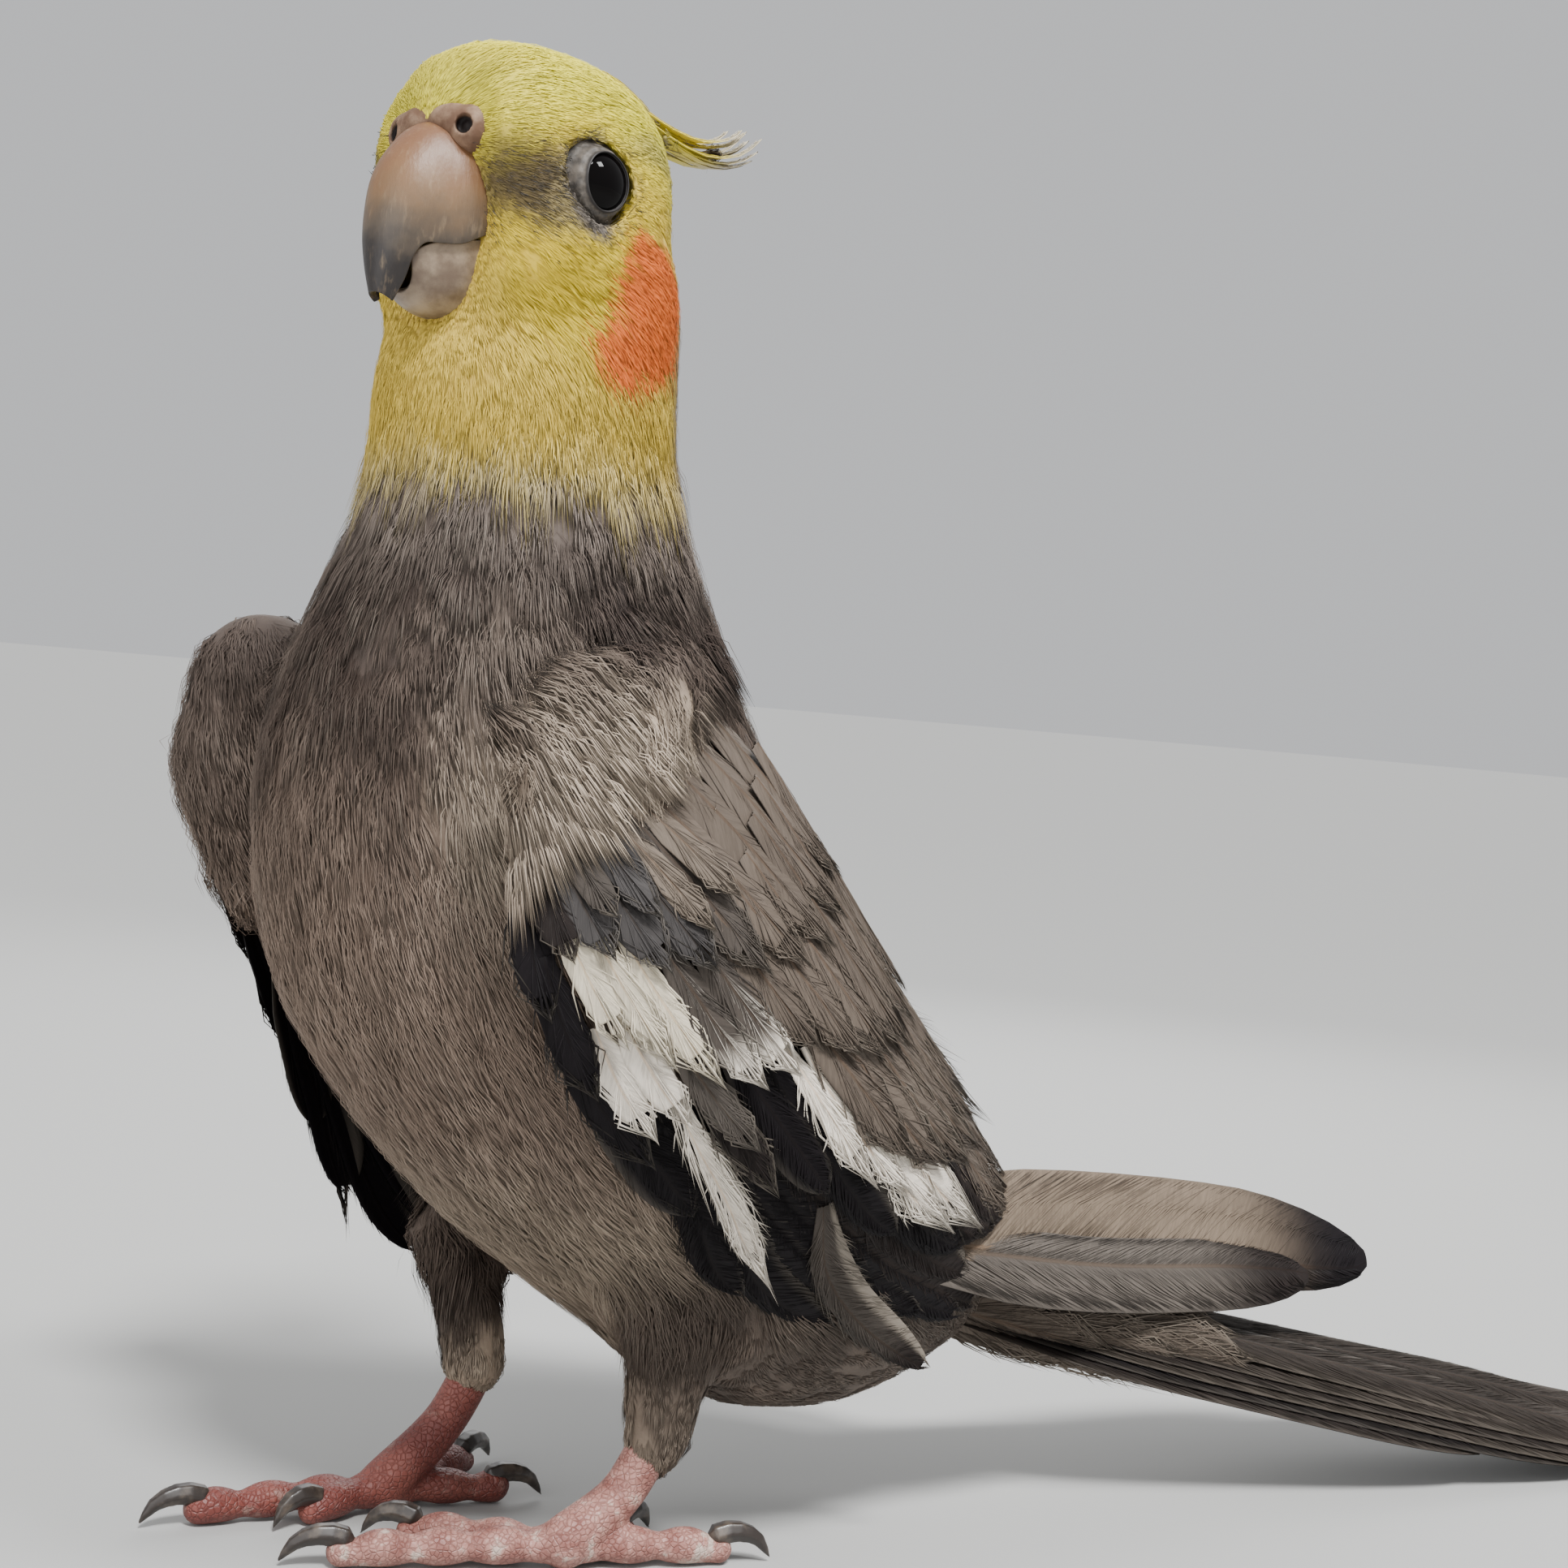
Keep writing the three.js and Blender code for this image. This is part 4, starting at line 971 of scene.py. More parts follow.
for side, label in SIDES:
    number, first, last, heights, steep = SHOULDER_TUFTS[side]
    number = int(number * share)
    u, v = rng.uniform(0.0, 0.95, number), rng.uniform(first, last, number)
    v = np.where(u > 0.6, v * 0.6 - 0.02, np.where(u < 0.25, v - 0.035, v))
    length = rng.uniform(6.0, 9.5, number)
    path = wing_path(side, u, v, length, heights)
    found = [tree.find_nearest(tuple(p)) for p in path[0][0]]
    uv = np.array([skin_uv[tri_loops[f[2]]].mean(0) for f in found])
    lift = rng.uniform(0.3, 1.3, number) * steep
    sizes = (0.16 * length, 14, lift, 0.075, 0.25, 0.7, COAT)
    pieces.append(tufts(f"coat_shoulder_{label}", path, uv, *sizes))

# %% [markdown]
# A flight feather or covert is a vane: two webs on a quill. Each is a thin closed blade,
# and barbs lie over it, a few of them slipped or parted, as in a worn feather. A plane
# with a see-through edge would be quicker, but the real edge is made of barbs.
# %% Tones of the feathers
TONES = {
    "sand": (0.14, 0.113, 0.089), "brown": (0.10, 0.080, 0.064), "grey": (0.058, 0.049, 0.042),
    "dark": (0.016, 0.012, 0.011), "black": (0.0055, 0.004, 0.005), "white": (0.72, 0.66, 0.57),
    "cream": (0.60, 0.54, 0.42), "slate": (0.052, 0.048, 0.047), "long": (0.15, 0.116, 0.086),
    "ash": (0.095, 0.082, 0.071), "tail": (0.030, 0.024, 0.020), "vent": (0.21, 0.165, 0.125),
    "yellow": (0.86, 0.73, 0.09), "straw": (0.66, 0.56, 0.20), "wisp": (0.56, 0.50, 0.36),
}
LOOK = dict(
    tone="brown", tip=None, web=None,  # colours of the whole feather, its tip and its left web
    edge=0.25, camber=0.22, blunt=0.0, taper=0.68,  # pale edge, hollow, and form of the end
    ragged=0.12, slant=0.7, core=1.0, rachis=0.0,  # barbs, part that is a blade, place of the quill
)
STEPS = 24  # places along the middle line of a feather


def feather_set(specs):
    """Middle lines, normals and looks of feathers. Each spec is (line, normals, half, look)."""
    lines = np.array([s[0] for s in specs])
    normals = np.array([s[1] for s in specs])
    ahead = unit(np.gradient(lines, axis=1))
    side = unit(np.cross(ahead, normals))
    normals = unit(np.cross(side, ahead))
    return {
        "line": lines, "normal": normals, "side": side, "half": np.array([s[2] for s in specs]),
        "length": np.linalg.norm(np.diff(lines, axis=1), axis=2).sum(1),
        "look": [dict(LOOK, **s[3]) for s in specs],
    }


def value(fs, key):
    return np.array([look[key] for look in fs["look"]])


print(len(TONES), "tones of feathers")

# %% [markdown]
# The outline of a feather widens fast from its root, runs almost straight and closes in a
# rounded end. Across, it is hollow underneath, with the quill as a low ridge.
# %% The form of a feather
QUILL_HIGH, QUILL_WIDE = 0.3, 0.07


def feather_width(s, blunt, taper):
    start = np.minimum(1, 0.4 + 1.8 * s)
    closing = (np.maximum(0, s - taper) / (1 - taper)) ** 2
    end = np.sqrt(np.maximum(0, 1 - closing * (1 - 0.55 * blunt)))
    return start * end


def on_feather(fs, i, c, s, above=0.0):
    """Points of feathers i at c, -1 to 1 across, and s, 0 to 1 along."""
    x = np.clip(s, 0, 1) * (STEPS - 1)
    a = np.minimum(x.astype(int), STEPS - 2)
    f = (x - a)[..., None]
    keys = ("line", "normal", "side")
    middle, normal, side = (fs[k][i, a] * (1 - f) + fs[k][i, a + 1] * f for k in keys)
    over = np.maximum(s - 1, 0)[..., None] * fs["length"][i][..., None]
    middle = middle + over * unit(fs["line"][i, -1] - fs["line"][i, -2])
    half = fs["half"][i] * feather_width(s, value(fs, "blunt")[i], value(fs, "taper")[i])
    quill = QUILL_HIGH * np.exp(-(((c - value(fs, "rachis")[i]) / QUILL_WIDE) ** 2)) * (1 - s)
    rise = above + quill - value(fs, "camber")[i] * half * c**2
    return middle + side * (c * half)[..., None] + normal * rise[..., None]


def normal_at(fs, i, s):
    return fs["normal"][i, np.minimum((s * (STEPS - 1)).astype(int), STEPS - 1)]


def look_attributes(fs, i, c, s):
    """What the material asks for at each point: normal, place on the vane, tone and edge."""
    tone, tip, web = (
        np.array([TONES[look[key] or look["tone"]] + (1,) for look in fs["look"]])
        for key in ("tone", "tip", "web")
    )
    colours = np.where((c < 0)[..., None], web[i], tone[i])
    colours = colours + (tip[i] - colours) * smooth(s, 0.72, 0.93)[..., None]
    shade = rng.uniform(0.88, 1.12, len(fs["half"]))[i]
    colours = colours * np.stack([shade, shade, shade, np.ones_like(shade)], -1)
    vane = np.stack([c - value(fs, "rachis")[i], s * fs["length"][i], i * 1.7], -1)
    hollow = 0.5 * c[..., None] * value(fs, "camber")[i][..., None]
    over = unit(normal_at(fs, i, np.clip(s, 0, 1)) + hollow * fs["side"][i, 0])
    return [
        ("over", "FLOAT_VECTOR", over.reshape(-1, 3)), ("vane", "FLOAT_VECTOR", vane.reshape(-1, 3)),
        ("tone", "FLOAT_COLOR", colours.reshape(-1, 4)), ("edge", "FLOAT", value(fs, "edge")[i].ravel()),
    ]


def bake_place(fs, i, c, s):
    """Each feather has a cell of its own in the map."""
    across = math.ceil(math.sqrt(len(fs["half"])))
    cell = 1 / across
    u = (i % across + 0.5 + 0.42 * np.clip(c, -1, 1)) * cell
    v = (i // across + 0.06 + 0.88 * np.clip(s, 0, 1)) * cell
    return np.stack([u, v], -1).reshape(-1, 2)


half_way = feather_width(np.array((0.0, 0.5, 0.9)), LOOK["blunt"], LOOK["taper"])
print("width at the root, half-way and near the tip", half_way.round(2))

# %% [markdown]
# The blade of a feather is a grid with a top and an underside, closed all round. Where the
# feather is loose, the blade is narrower than the feather, and the barbs make up the rest.
# %% Blades
def strip(a, b):
    """Faces between two rows of corners that lie side by side."""
    return np.stack([a[:, :-1], a[:, 1:], b[:, 1:], b[:, :-1]], -1).reshape(-1, 4)


def vanes(name, specs, columns=8, rows=14, thick=0.22):
    """The blades of all feathers of a set as one piece."""
    fs = feather_set(specs)
    count = len(specs)
    c = np.linspace(-1, 1, columns + 1)
    s = 1 - (1 - np.linspace(0, 1, rows + 1)) ** 1.5
    i, ss, cc = np.meshgrid(np.arange(count), s, c, indexing="ij")
    core = value(fs, "core")[i]
    ss, cc = ss * (0.75 + 0.25 * core), cc * core
    top = on_feather(fs, i, cc, ss, thick / 2)
    low = on_feather(fs, i, cc, ss, -thick / 2 * (1 - 0.6 * cc**2))
    verts = np.stack([top, low], 1)
    grid = (rows + 1) * (columns + 1)
    index = np.arange(count * 2 * grid).reshape(count, 2, rows + 1, columns + 1)
    quads = []
    for face, flip in ((0, False), (1, True)):
        q = index[:, face]
        four = [q[:, :-1, :-1], q[:, :-1, 1:], q[:, 1:, 1:], q[:, 1:, :-1]]
        quads.append(np.stack(four[::-1] if flip else four, -1).reshape(-1, 4))
    for edge in (index[:, :, :, 0], index[:, :, ::-1, -1], index[:, :, -1, :], index[:, :, 0, ::-1]):
        quads.append(strip(edge[:, 0], edge[:, 1]))
    quads = np.concatenate(quads)
    tris = np.concatenate([quads[:, [0, 1, 2]], quads[:, [0, 2, 3]]])
    both = [np.stack([x, x], 1) for x in (i, cc, ss)]
    maps = look_attributes(fs, *both), bake_place(fs, *both)
    obj = mesh_object(name, verts.reshape(-1, 3), tris, *maps)
    tidy_mesh(obj, 0.002 * MM)
    obj.data.materials.append(VANES)
    print(name, count, "vanes", triangles(obj), "triangles")
    return obj, fs


# %% [markdown]
# Barbs leave the quill at a slant and run out past the edge of the blade. On a worn feather
# they slip apart in groups, so the slip is a wave along the feather plus chance.
# %% Barbs
BARB_PARTS = (0.0, 0.55, 1.0)
LAST = 0.985  # where barbs end on a feather that isn't ragged


def barbs(name, fs, spacing, thick):
    """Barbs over the webs of all feathers of a set, out past their edges."""
    at_feather, at_s, at_side = [], [], []
    for f, long in enumerate(fs["length"]):
        number = int(long / spacing)
        for side in (-1, 1):
            at_feather.append(np.full(number, f))
            at_s.append((np.arange(number) + rng.random(number)) / number)
            at_side.append(np.full(number, side))
    i, s0, side = (np.concatenate(a) for a in (at_feather, at_s, at_side))
    s0 = s0**0.85 * 0.97
    ragged, slant, rachis = (value(fs, key)[i] for key in ("ragged", "slant", "rachis"))
    slip = 1 + 0.8 * ragged * np.sin(s0 * fs["length"][i] * 0.9 + i * 2.1)
    slip = slip + rng.normal(0, 0.1 + 0.3 * ragged)
    run = fs["half"][i] / fs["length"][i] / np.tan(slant) * np.clip(slip, 0.3, 2)
    run = run * (1 - s0) ** 0.55 * 1.5
    stop = 1 + np.abs(rng.normal(0, 1, len(i))) * ragged * 0.6
    rows = []
    for t in BARB_PARTS:
        c = rachis + (side * stop - rachis) * t
        s = s0 + run * t**1.25
        lift = 0.16 + 0.1 * t * (1 - t) + rng.normal(0, 0.04 + 0.25 * ragged * t, len(i))
        end = np.minimum(s, LAST + 0.3 * ragged * t * rng.random(len(i)))
        rows.append((on_feather(fs, i, c, end, lift), c, s))
    line = unit(rows[2][0] - rows[0][0])
    normal = normal_at(fs, i, s0)
    across = unit(np.cross(normal, line))
    places = (row[0] for row in rows)
    verts, tris = spindles(*places, across, normal, thick * rng.uniform(0.8, 1.35, len(i)))
    c, s = (np.stack([rows[n][k] for n in (0, 1, 1, 1, 2)], 1) for k in (1, 2))
    c = c + np.array((0, 0.03, -0.03, 0, 0))
    many = np.repeat(i[:, None], CORNERS, 1)
    obj = mesh_object(name, verts, tris, look_attributes(fs, many, c, s), bake_place(fs, many, c, s))
    obj.data.materials.append(VANES)
    print(name, len(i), "barbs", len(tris), "triangles")
    return obj


# %% [markdown]
# The feathers of a folded wing lie in tiers, each over the next one down: flight feathers,
# greater, median and lesser coverts. The tones follow the bird: sandy shoulder, grey-brown
# coverts, a white patch and blackish flight feathers. Each feather is one row of a table,
# so that it can be moved alone.
# %% The table of the wings' feathers
WING_TABLE = [
    # root (u, v), tip (u, v), lift at root and tip, half width, tone
    # flight feathers, hand side first
    ((0.06, 0.40), (0.00, 0.62), (-1.6, -1.0), 3.6, "black"),
    ((0.08, 0.42), (0.02, 0.74), (-1.5, -0.9), 3.8, "black"),
    ((0.12, 0.44), (-0.06, 0.81), (-1.5, -0.9), 3.6, "black"),
    ((0.16, 0.46), (-0.05, 0.92), (-1.3, -0.6), 3.6, "black"),
    ((0.12, 0.44), (0.06, 0.88), (-1.4, -0.8), 4.0, "black"),
    ((0.16, 0.44), (0.12, 0.97), (-1.2, -0.7), 4.0, "black"),
    ((0.20, 0.44), (0.19, 1.02), (-1.1, -0.6), 4.2, "black"),
    ((0.25, 0.44), (0.27, 1.03), (-1.0, -0.5), 4.2, "dark"),
    ((0.32, 0.44), (0.35, 0.97), (-0.9, -0.3), 4.4, "dark"),
    ((0.40, 0.44), (0.42, 0.92), (-0.8, 0.0), 4.6, "black"),
    ((0.46, 0.44), (0.50, 0.94), (-0.7, 0.1), 4.6, "dark"),
    ((0.54, 0.44), (0.58, 0.97), (-0.6, 0.2), 4.8, "dark"),
    ((0.62, 0.44), (0.66, 0.99), (-0.4, 0.4), 4.8, "dark"),
    ((0.70, 0.42), (0.73, 1.0), (-0.2, 0.6), 4.8, "brown"),
    ((0.78, 0.40), (0.80, 0.98), (0.0, 0.8), 4.8, "brown"),
    ((0.86, 0.38), (0.86, 0.96), (0.2, 1.0), 4.6, "brown"),
    # one loose feather of the hand hangs out below the others
    ((0.22, 0.70), (-0.07, 1.04), (-0.6, 0.8), 2.5, "loose"),
    # second layer: white and dark secondaries and coverts of the hand
    ((0.17, 0.38), (0.02, 0.76), (-0.5, 0.1), 1.5, "white"),
    ((0.21, 0.38), (0.16, 0.60), (-0.3, 0.7), 2.6, "dark"),
    ((0.28, 0.40), (0.24, 0.66), (-0.2, 0.6), 2.8, "black"),
    ((0.34, 0.42), (0.30, 0.80), (-0.1, 0.6), 3.2, "black"),
    ((0.38, 0.42), (0.34, 0.66), (0.1, 0.9), 2.0, "white"),
    ((0.42, 0.46), (0.40, 0.72), (0.1, 0.9), 2.6, "white"),
    ((0.46, 0.50), (0.42, 0.82), (0.2, 0.9), 3.4, "white"),
    ((0.52, 0.50), (0.50, 0.86), (0.2, 1.0), 3.6, "white"),
    ((0.04, 0.30), (0.03, 0.50), (-0.6, 0.2), 2.8, "black"),
    ((0.09, 0.30), (0.07, 0.46), (-0.5, 0.3), 3.0, "white"),
    ((0.14, 0.30), (0.13, 0.46), (-0.4, 0.5), 3.0, "white"),
    ((0.20, 0.36), (0.19, 0.53), (0.0, 0.9), 2.4, "ash"),
    # scapulars and inner coverts over the back
    ((0.46, 0.40), (0.46, 0.68), (0.4, 1.4), 3.8, "brown"),
    ((0.54, 0.40), (0.53, 0.74), (0.4, 1.5), 4.2, "brown"),
    ((0.62, 0.38), (0.61, 0.78), (0.5, 1.6), 4.4, "brown"),
    ((0.70, 0.36), (0.69, 0.80), (0.6, 1.7), 4.6, "brown"),
    ((0.78, 0.34), (0.77, 0.78), (0.7, 1.8), 4.6, "brown"),
    ((0.86, 0.32), (0.85, 0.76), (0.8, 1.8), 4.4, "brown"),
    # greater coverts
    ((0.05, 0.17), (0.04, 0.38), (-0.2, 0.6), 3.0, "black"),
    ((0.11, 0.13), (0.12, 0.31), (-0.2, 0.9), 2.6, "cream"),
    ((0.16, 0.15), (0.17, 0.36), (-0.2, 1.0), 2.4, "cream"),
    ((0.21, 0.20), (0.22, 0.41), (0.0, 1.1), 2.6, "cream"),
    ((0.27, 0.24), (0.28, 0.45), (0.3, 1.4), 3.0, "pied"),
    ((0.34, 0.24), (0.35, 0.46), (0.4, 1.5), 3.2, "pied"),
    ((0.41, 0.24), (0.42, 0.45), (0.5, 1.6), 3.4, "brown"),
    ((0.49, 0.24), (0.50, 0.50), (0.5, 1.8), 3.8, "brown"),
    ((0.57, 0.22), (0.57, 0.54), (0.6, 1.9), 4.0, "brown"),
    ((0.66, 0.20), (0.65, 0.56), (0.8, 2.1), 4.4, "brown"),
    ((0.75, 0.18), (0.74, 0.56), (0.9, 2.2), 4.6, "brown"),
    ((0.84, 0.16), (0.82, 0.54), (1.0, 2.2), 4.6, "brown"),
    # median coverts, their roots sunk under the soft shoulder
    ((0.03, 0.04), (0.03, 0.24), (-1.6, 0.5), 3.0, "black"),
    ((0.09, 0.02), (0.10, 0.18), (-1.6, 0.8), 3.0, "dark"),
    ((0.16, 0.03), (0.17, 0.20), (-1.6, 1.1), 3.2, "slate"),
    ((0.24, 0.06), (0.25, 0.25), (-1.6, 1.3), 3.4, "slate"),
    ((0.32, 0.07), (0.33, 0.28), (-1.6, 1.5), 3.6, "slate"),
    ((0.41, 0.08), (0.42, 0.32), (-1.6, 1.6), 3.8, "grey"),
    ((0.50, 0.08), (0.51, 0.35), (-1.5, 1.8), 4.2, "brown"),
    ((0.60, 0.06), (0.60, 0.36), (-1.5, 2.0), 4.6, "brown"),
    ((0.71, 0.04), (0.70, 0.36), (-1.5, 2.1), 4.8, "brown"),
    ((0.82, 0.02), (0.80, 0.34), (-1.5, 2.1), 4.8, "brown"),
    ((0.20, 0.05), (0.21, 0.16), (-1.4, 1.3), 2.4, "grey"),
    ((0.285, 0.07), (0.29, 0.19), (-1.4, 1.4), 2.4, "slate"),
    ((0.365, 0.10), (0.37, 0.24), (-1.4, 1.5), 2.4, "sand"),
    ((0.455, 0.09), (0.46, 0.23), (-1.4, 1.7), 2.6, "sand"),
]
print(len(WING_TABLE), "feathers in the table")

# %% [markdown]
# Both wings take the same table. On the right one, on the far side, the sandy and cream
# feathers are brown as painted shade, and the feathers that hang out of the left wing in
# front, and the two long ones that stand off over the tail, are left out.
# %% Feathers of the wings
LOOSE_WEB = dict(ragged=0.45, slant=0.2, core=0.62)
WHITE_WEB = dict(ragged=0.7, slant=0.14, core=0.55)
FLIGHT_WEB = dict(ragged=0.16, slant=0.42, core=0.92)
EDGES = {"white": 0.1, "cream": 0.1, "black": 0.08, "dark": 0.2}
PLAIN_EDGE = 0.12
LEFT_ONLY = -0.04  # feathers whose tips hang out further in u are the left wing's alone
# on the right wing, on the far side, this feather is made black as painted shade
WHITE_STREAK = (0.02, 0.76)  # tip of a feather that is white on the left wing alone
LONG_FEATHERS = (
    # middle line, half width, look
    (
        [(22, 28, 36.5), (17, 45, 34.4), (9.5, 70, 32), (7.8, 95, 29.2), (8, 118, 25)],
        6.4, dict(tone="long", tip="black", rachis=0.5),
    ),
    (
        [(22, 30, 34), (18, 47, 30.8), (13.6, 70, 27), (11, 92, 25.2), (10, 106, 24)],
        4.4, dict(tone="ash", tip="dark", rachis=-0.2),
    ),
)
LONG_NORMAL = np.array((0.86, 0.1, 0.5))


def wing_course(side, root, tip, lift):
    """Middle line and normals of a feather from root to tip on a wing's field."""
    t = np.linspace(0, 1, STEPS)
    u, v = root[0] + (tip[0] - root[0]) * t, root[1] + (tip[1] - root[1]) * t
    normal = wing_normal(side, u, v)
    line = wing_point(side, u, v) + normal * (lift[0] + (lift[1] - lift[0]) * t)[:, None]
    return line, normal


def wing_look(side, tip, tone):
    """Tone and barbs of one feather: coverts are looser than flight feathers."""
    look = dict(FLIGHT_WEB)
    if tip[1] < 0.62 or tone == "brown":
        look = dict(LOOSE_WEB)
    if tone in ("white", "cream"):
        look = dict(WHITE_WEB)
    look["rachis"] = 0.35 * side if tip[1] > 0.7 else 0.0
    look["edge"] = EDGES.get(tone, PLAIN_EDGE)
    look["tone"] = "grey" if tone in ("pied", "loose") else tone
    if side > 0 and tone == "pied":
        look["tip"] = "white"
    if tone == "loose":
        look.update(tip="dark", ragged=0.25, edge=0.3)
    # painted shade of the far side: on the right wing sand and cream turn brown, and the white streak black
    if side < 0 and tone in ("sand", "slate", "cream"):
        look["tone"] = "brown"
    if side < 0 and tip == WHITE_STREAK:
        look["tone"] = "black"
    return look


for side, label in SIDES:
    specs = []
    for root, tip, lift, half, tone in WING_TABLE:
        if side > 0 or tip[0] >= LEFT_ONLY:
            course = wing_course(side, root, tip, lift)
            specs.append((*course, half, wing_look(side, tip, tone)))
    for line, half, look in LONG_FEATHERS if side > 0 else ():
        normal = np.broadcast_to(unit(LONG_NORMAL), (STEPS, 3))
        look.update(edge=0.0, ragged=0.01, slant=0.35, camber=0.15, blunt=0.05, taper=0.76)
        specs.append((even(line, np.linspace(0, 1, STEPS)), normal, half, look))
    blade, fs = vanes(f"wing_{label}_vanes", specs)
    over = barbs(f"wing_{label}_barbs", fs, 0.3 if side == 1 else 0.46, 0.085)
    pieces += [blade, over]
    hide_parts(f"wing_{label}")

# %% [markdown]
# The tail lies in steps: twelve feathers in pairs, the middle pair the longest and on top,
# with soft coverts over and under its root. All of them follow one line from the rump down
# to the floor, where the tail turns flat.
# %% Line and pairs of the tail
TAIL_LINE = [
    (0, 52, 25.5), (4, 71, 20.5), (8.5, 93, 15.8), (12.5, 118, 10.5),
    (15.5, 135, 7), (18.5, 150, 3.9), (22, 168, 1.9), (28, 205, 0.45),
]
TAIL_LENGTH = 160
TAIL_PAIRS = [
    # length, place across at root and tip, level, tone
    (160, 1.6, 2.2, 1.7, "tail"), (149, 3.0, 4.6, 1.0, "tail"), (133, 3.8, 6.2, 0.4, "dark"),
    (116, 4.4, 7.6, -0.2, "tail"), (98, 5, 8.8, -0.8, "black"), (80, 5.6, 10, -1.4, "dark"),
]
TAIL_ROLL = math.radians(17)


def tail_course(d, a, level):
    """Middle line and normals from d[0] to d[1] mm along the tail, a across and level over it."""
    t = np.linspace(0, 1, STEPS)
    far = np.clip((d[0] + (d[1] - d[0]) * t) / TAIL_LENGTH, 0, 1)
    centre = even(TAIL_LINE, far)
    next_to = np.minimum(far + 0.01, 1)
    ahead = unit(even(TAIL_LINE, next_to) - even(TAIL_LINE, next_to - 0.02))
    roll = (TAIL_ROLL * np.clip((1 - far) * 2.2, 0, 1))[:, None]
    flat = unit(np.stack([ahead[:, 1], -ahead[:, 0], 0 * far], -1))
    up = unit(np.cross(flat, ahead))
    side = flat * np.cos(roll) - up * np.sin(roll)
    normal = unit(np.cross(side, ahead))
    across = (a[0] + (a[1] - a[0]) * t)[:, None]
    lifted = (level[0] + (level[1] - level[0]) * t)[:, None]
    return centre + side * across + normal * lifted, normal


specs = []
for k, (length, root, tip, level, tone) in enumerate(TAIL_PAIRS):
    for s in (1, -1):
        over = 0 if k or s < 0 else 0.9
        end = level + 0.2 if k else 0.3
        look = dict(tone=tone, edge=0.05, ragged=0.05, camber=0.08, slant=0.35)
        course = tail_course((4, length), (s * root, s * tip), (level + over, end))
        specs.append((*course, 4.3 - 0.12 * k, look))
print(len(specs), "tail feathers")

# %% [markdown]
# The coverts close round the root of the tail like a sleeve, so they are laid in three
# rings, the longest first, and those under the tail are paler.
# %% Coverts of the tail
TAIL_COVERTS = ((10, 50), (4, 40), (-2, 30))  # start and end of each ring, in mm along the tail
COVERT_TURN, COVERT_HALF = 30, 4.4
for row, (start, end) in enumerate(TAIL_COVERTS):
    for turn in range(-150, 180, COVERT_TURN):
        line, normal = tail_course((start, end - 0.06 * abs(turn)), (0, 0), (0, 0))
        side = unit(np.cross(normal, np.gradient(line, axis=0)))
        angle = math.radians(turn + 15 * row)
        out = side * math.sin(angle) - normal * math.cos(angle) * 0.62
        round_it = np.linspace(7.2 - 0.4 * (2 - row), 6.0 + 0.5 * row, STEPS)[:, None]
        tone = "vent" if abs(turn) < 80 else "brown"
        look = dict(tone=tone, edge=0.15, ragged=0.45, slant=0.2, core=0.6)
        specs.append((line + out * round_it, unit(out), COVERT_HALF, look))
tail_blades, fs = vanes("tail_vanes", specs)
pieces += [tail_blades, barbs("tail_barbs", fs, 0.45, 0.09)]
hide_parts("tail")

# %% [markdown]
# The crest is a bunch of narrow feathers from the crown that curl up at their tips. Most
# are short and close the bunch at its root, and a few long wisps stand free at its end.
# %% Crest
CREST_LINE = [
    (0, 9, 13.4), (0, 2, 15.7), (0, -6, 15.6), (0, -13, 14.2),
    (0, -19, 12.6), (0, -25, 12.0), (0, -30, 13.2), (0, -33.5, 15.8),
]
CREST_FEATHERS, WISPS = 46, 12
part = np.linspace(0, 1, STEPS)
specs = []
for k in range(CREST_FEATHERS):
    wisp = k < WISPS
    spread = (2 * k + 1) / WISPS - 1 if wisp else 0.0
    start = 0.12 + 0.02 * k if wisp else rng.uniform(0.0, 0.28)
    stop = 1.0 - 0.07 * abs(spread) if wisp else start + rng.uniform(0.26, 0.38)
    aside = 1.8 * math.sin(2.4 * k) if wisp else rng.uniform(-1, 1) * 5.0
    t = start + (stop - start) * part**1.1
    line = even(CREST_LINE, t)
    ahead = unit(np.gradient(line, axis=0))
    up = unit(np.cross(ahead, np.broadcast_to((-1.0, 0, 0), ahead.shape)))
    up *= np.sign(up[:, 2:3])
    free = np.clip((t - 0.55) / 0.45, 0, 1)
    height = -1.5 + rng.uniform(0.6, 1.7) * np.minimum(1, part * 2.5) - abs(aside) * 0.28
    line = line + up * (height + 2.3 * spread * free**1.3)[:, None]
    line[:, 0] += aside * (1.2 - 0.5 * part)
    tip = "wisp" if stop > 0.6 else "straw"
    look = dict(tone="yellow", tip=tip, edge=0.0, ragged=0.06, camber=0.1, slant=0.25)
    look["taper"] = 0.3 if wisp else 0.6
    half = 0.8 if wisp else rng.uniform(0.7, 1.2)
    specs.append((head_to_bird(line), head_direction(up), half, look))
crest, fs = vanes("crest_vanes", specs, columns=4, rows=12, thick=0.12)
pieces += [crest, barbs("crest_barbs", fs, 0.42, 0.06)]

# %% [markdown]
# The bill is horn: fleshy brown at its root, grey lower down and almost black at the hook,
# with streaks along its growth where it flakes.
# %% Horn
ROOT_WARM, ROOT_PALE = (0.17, 0.078, 0.036, 1), (0.205, 0.115, 0.05, 1)
HORN_GREY, HORN_BLACK, FLAKE = (0.07, 0.052, 0.036, 1), (0.014, 0.010, 0.009, 1), (0.33, 0.235, 0.14, 1)
LOWER_DARK, LOWER_PALE = (0.14, 0.095, 0.064, 1), (0.34, 0.26, 0.18, 1)
HORN, g, shader = new_material("Horn", 0.45, Coat_Weight=0.04, Coat_Roughness=0.35)
bird = g.vector("SCALE", g.vector("SUBTRACT", g.coordinates(), tuple(ORIGIN)), scale=1 / MM)
drawn = g.add("ShaderNodeMapping", {"Vector": bird, "Scale": (1.0, 1.0, 0.22)}).outputs[0]
streaks = g.noise(drawn, 1.6, 5.0, 0.6)
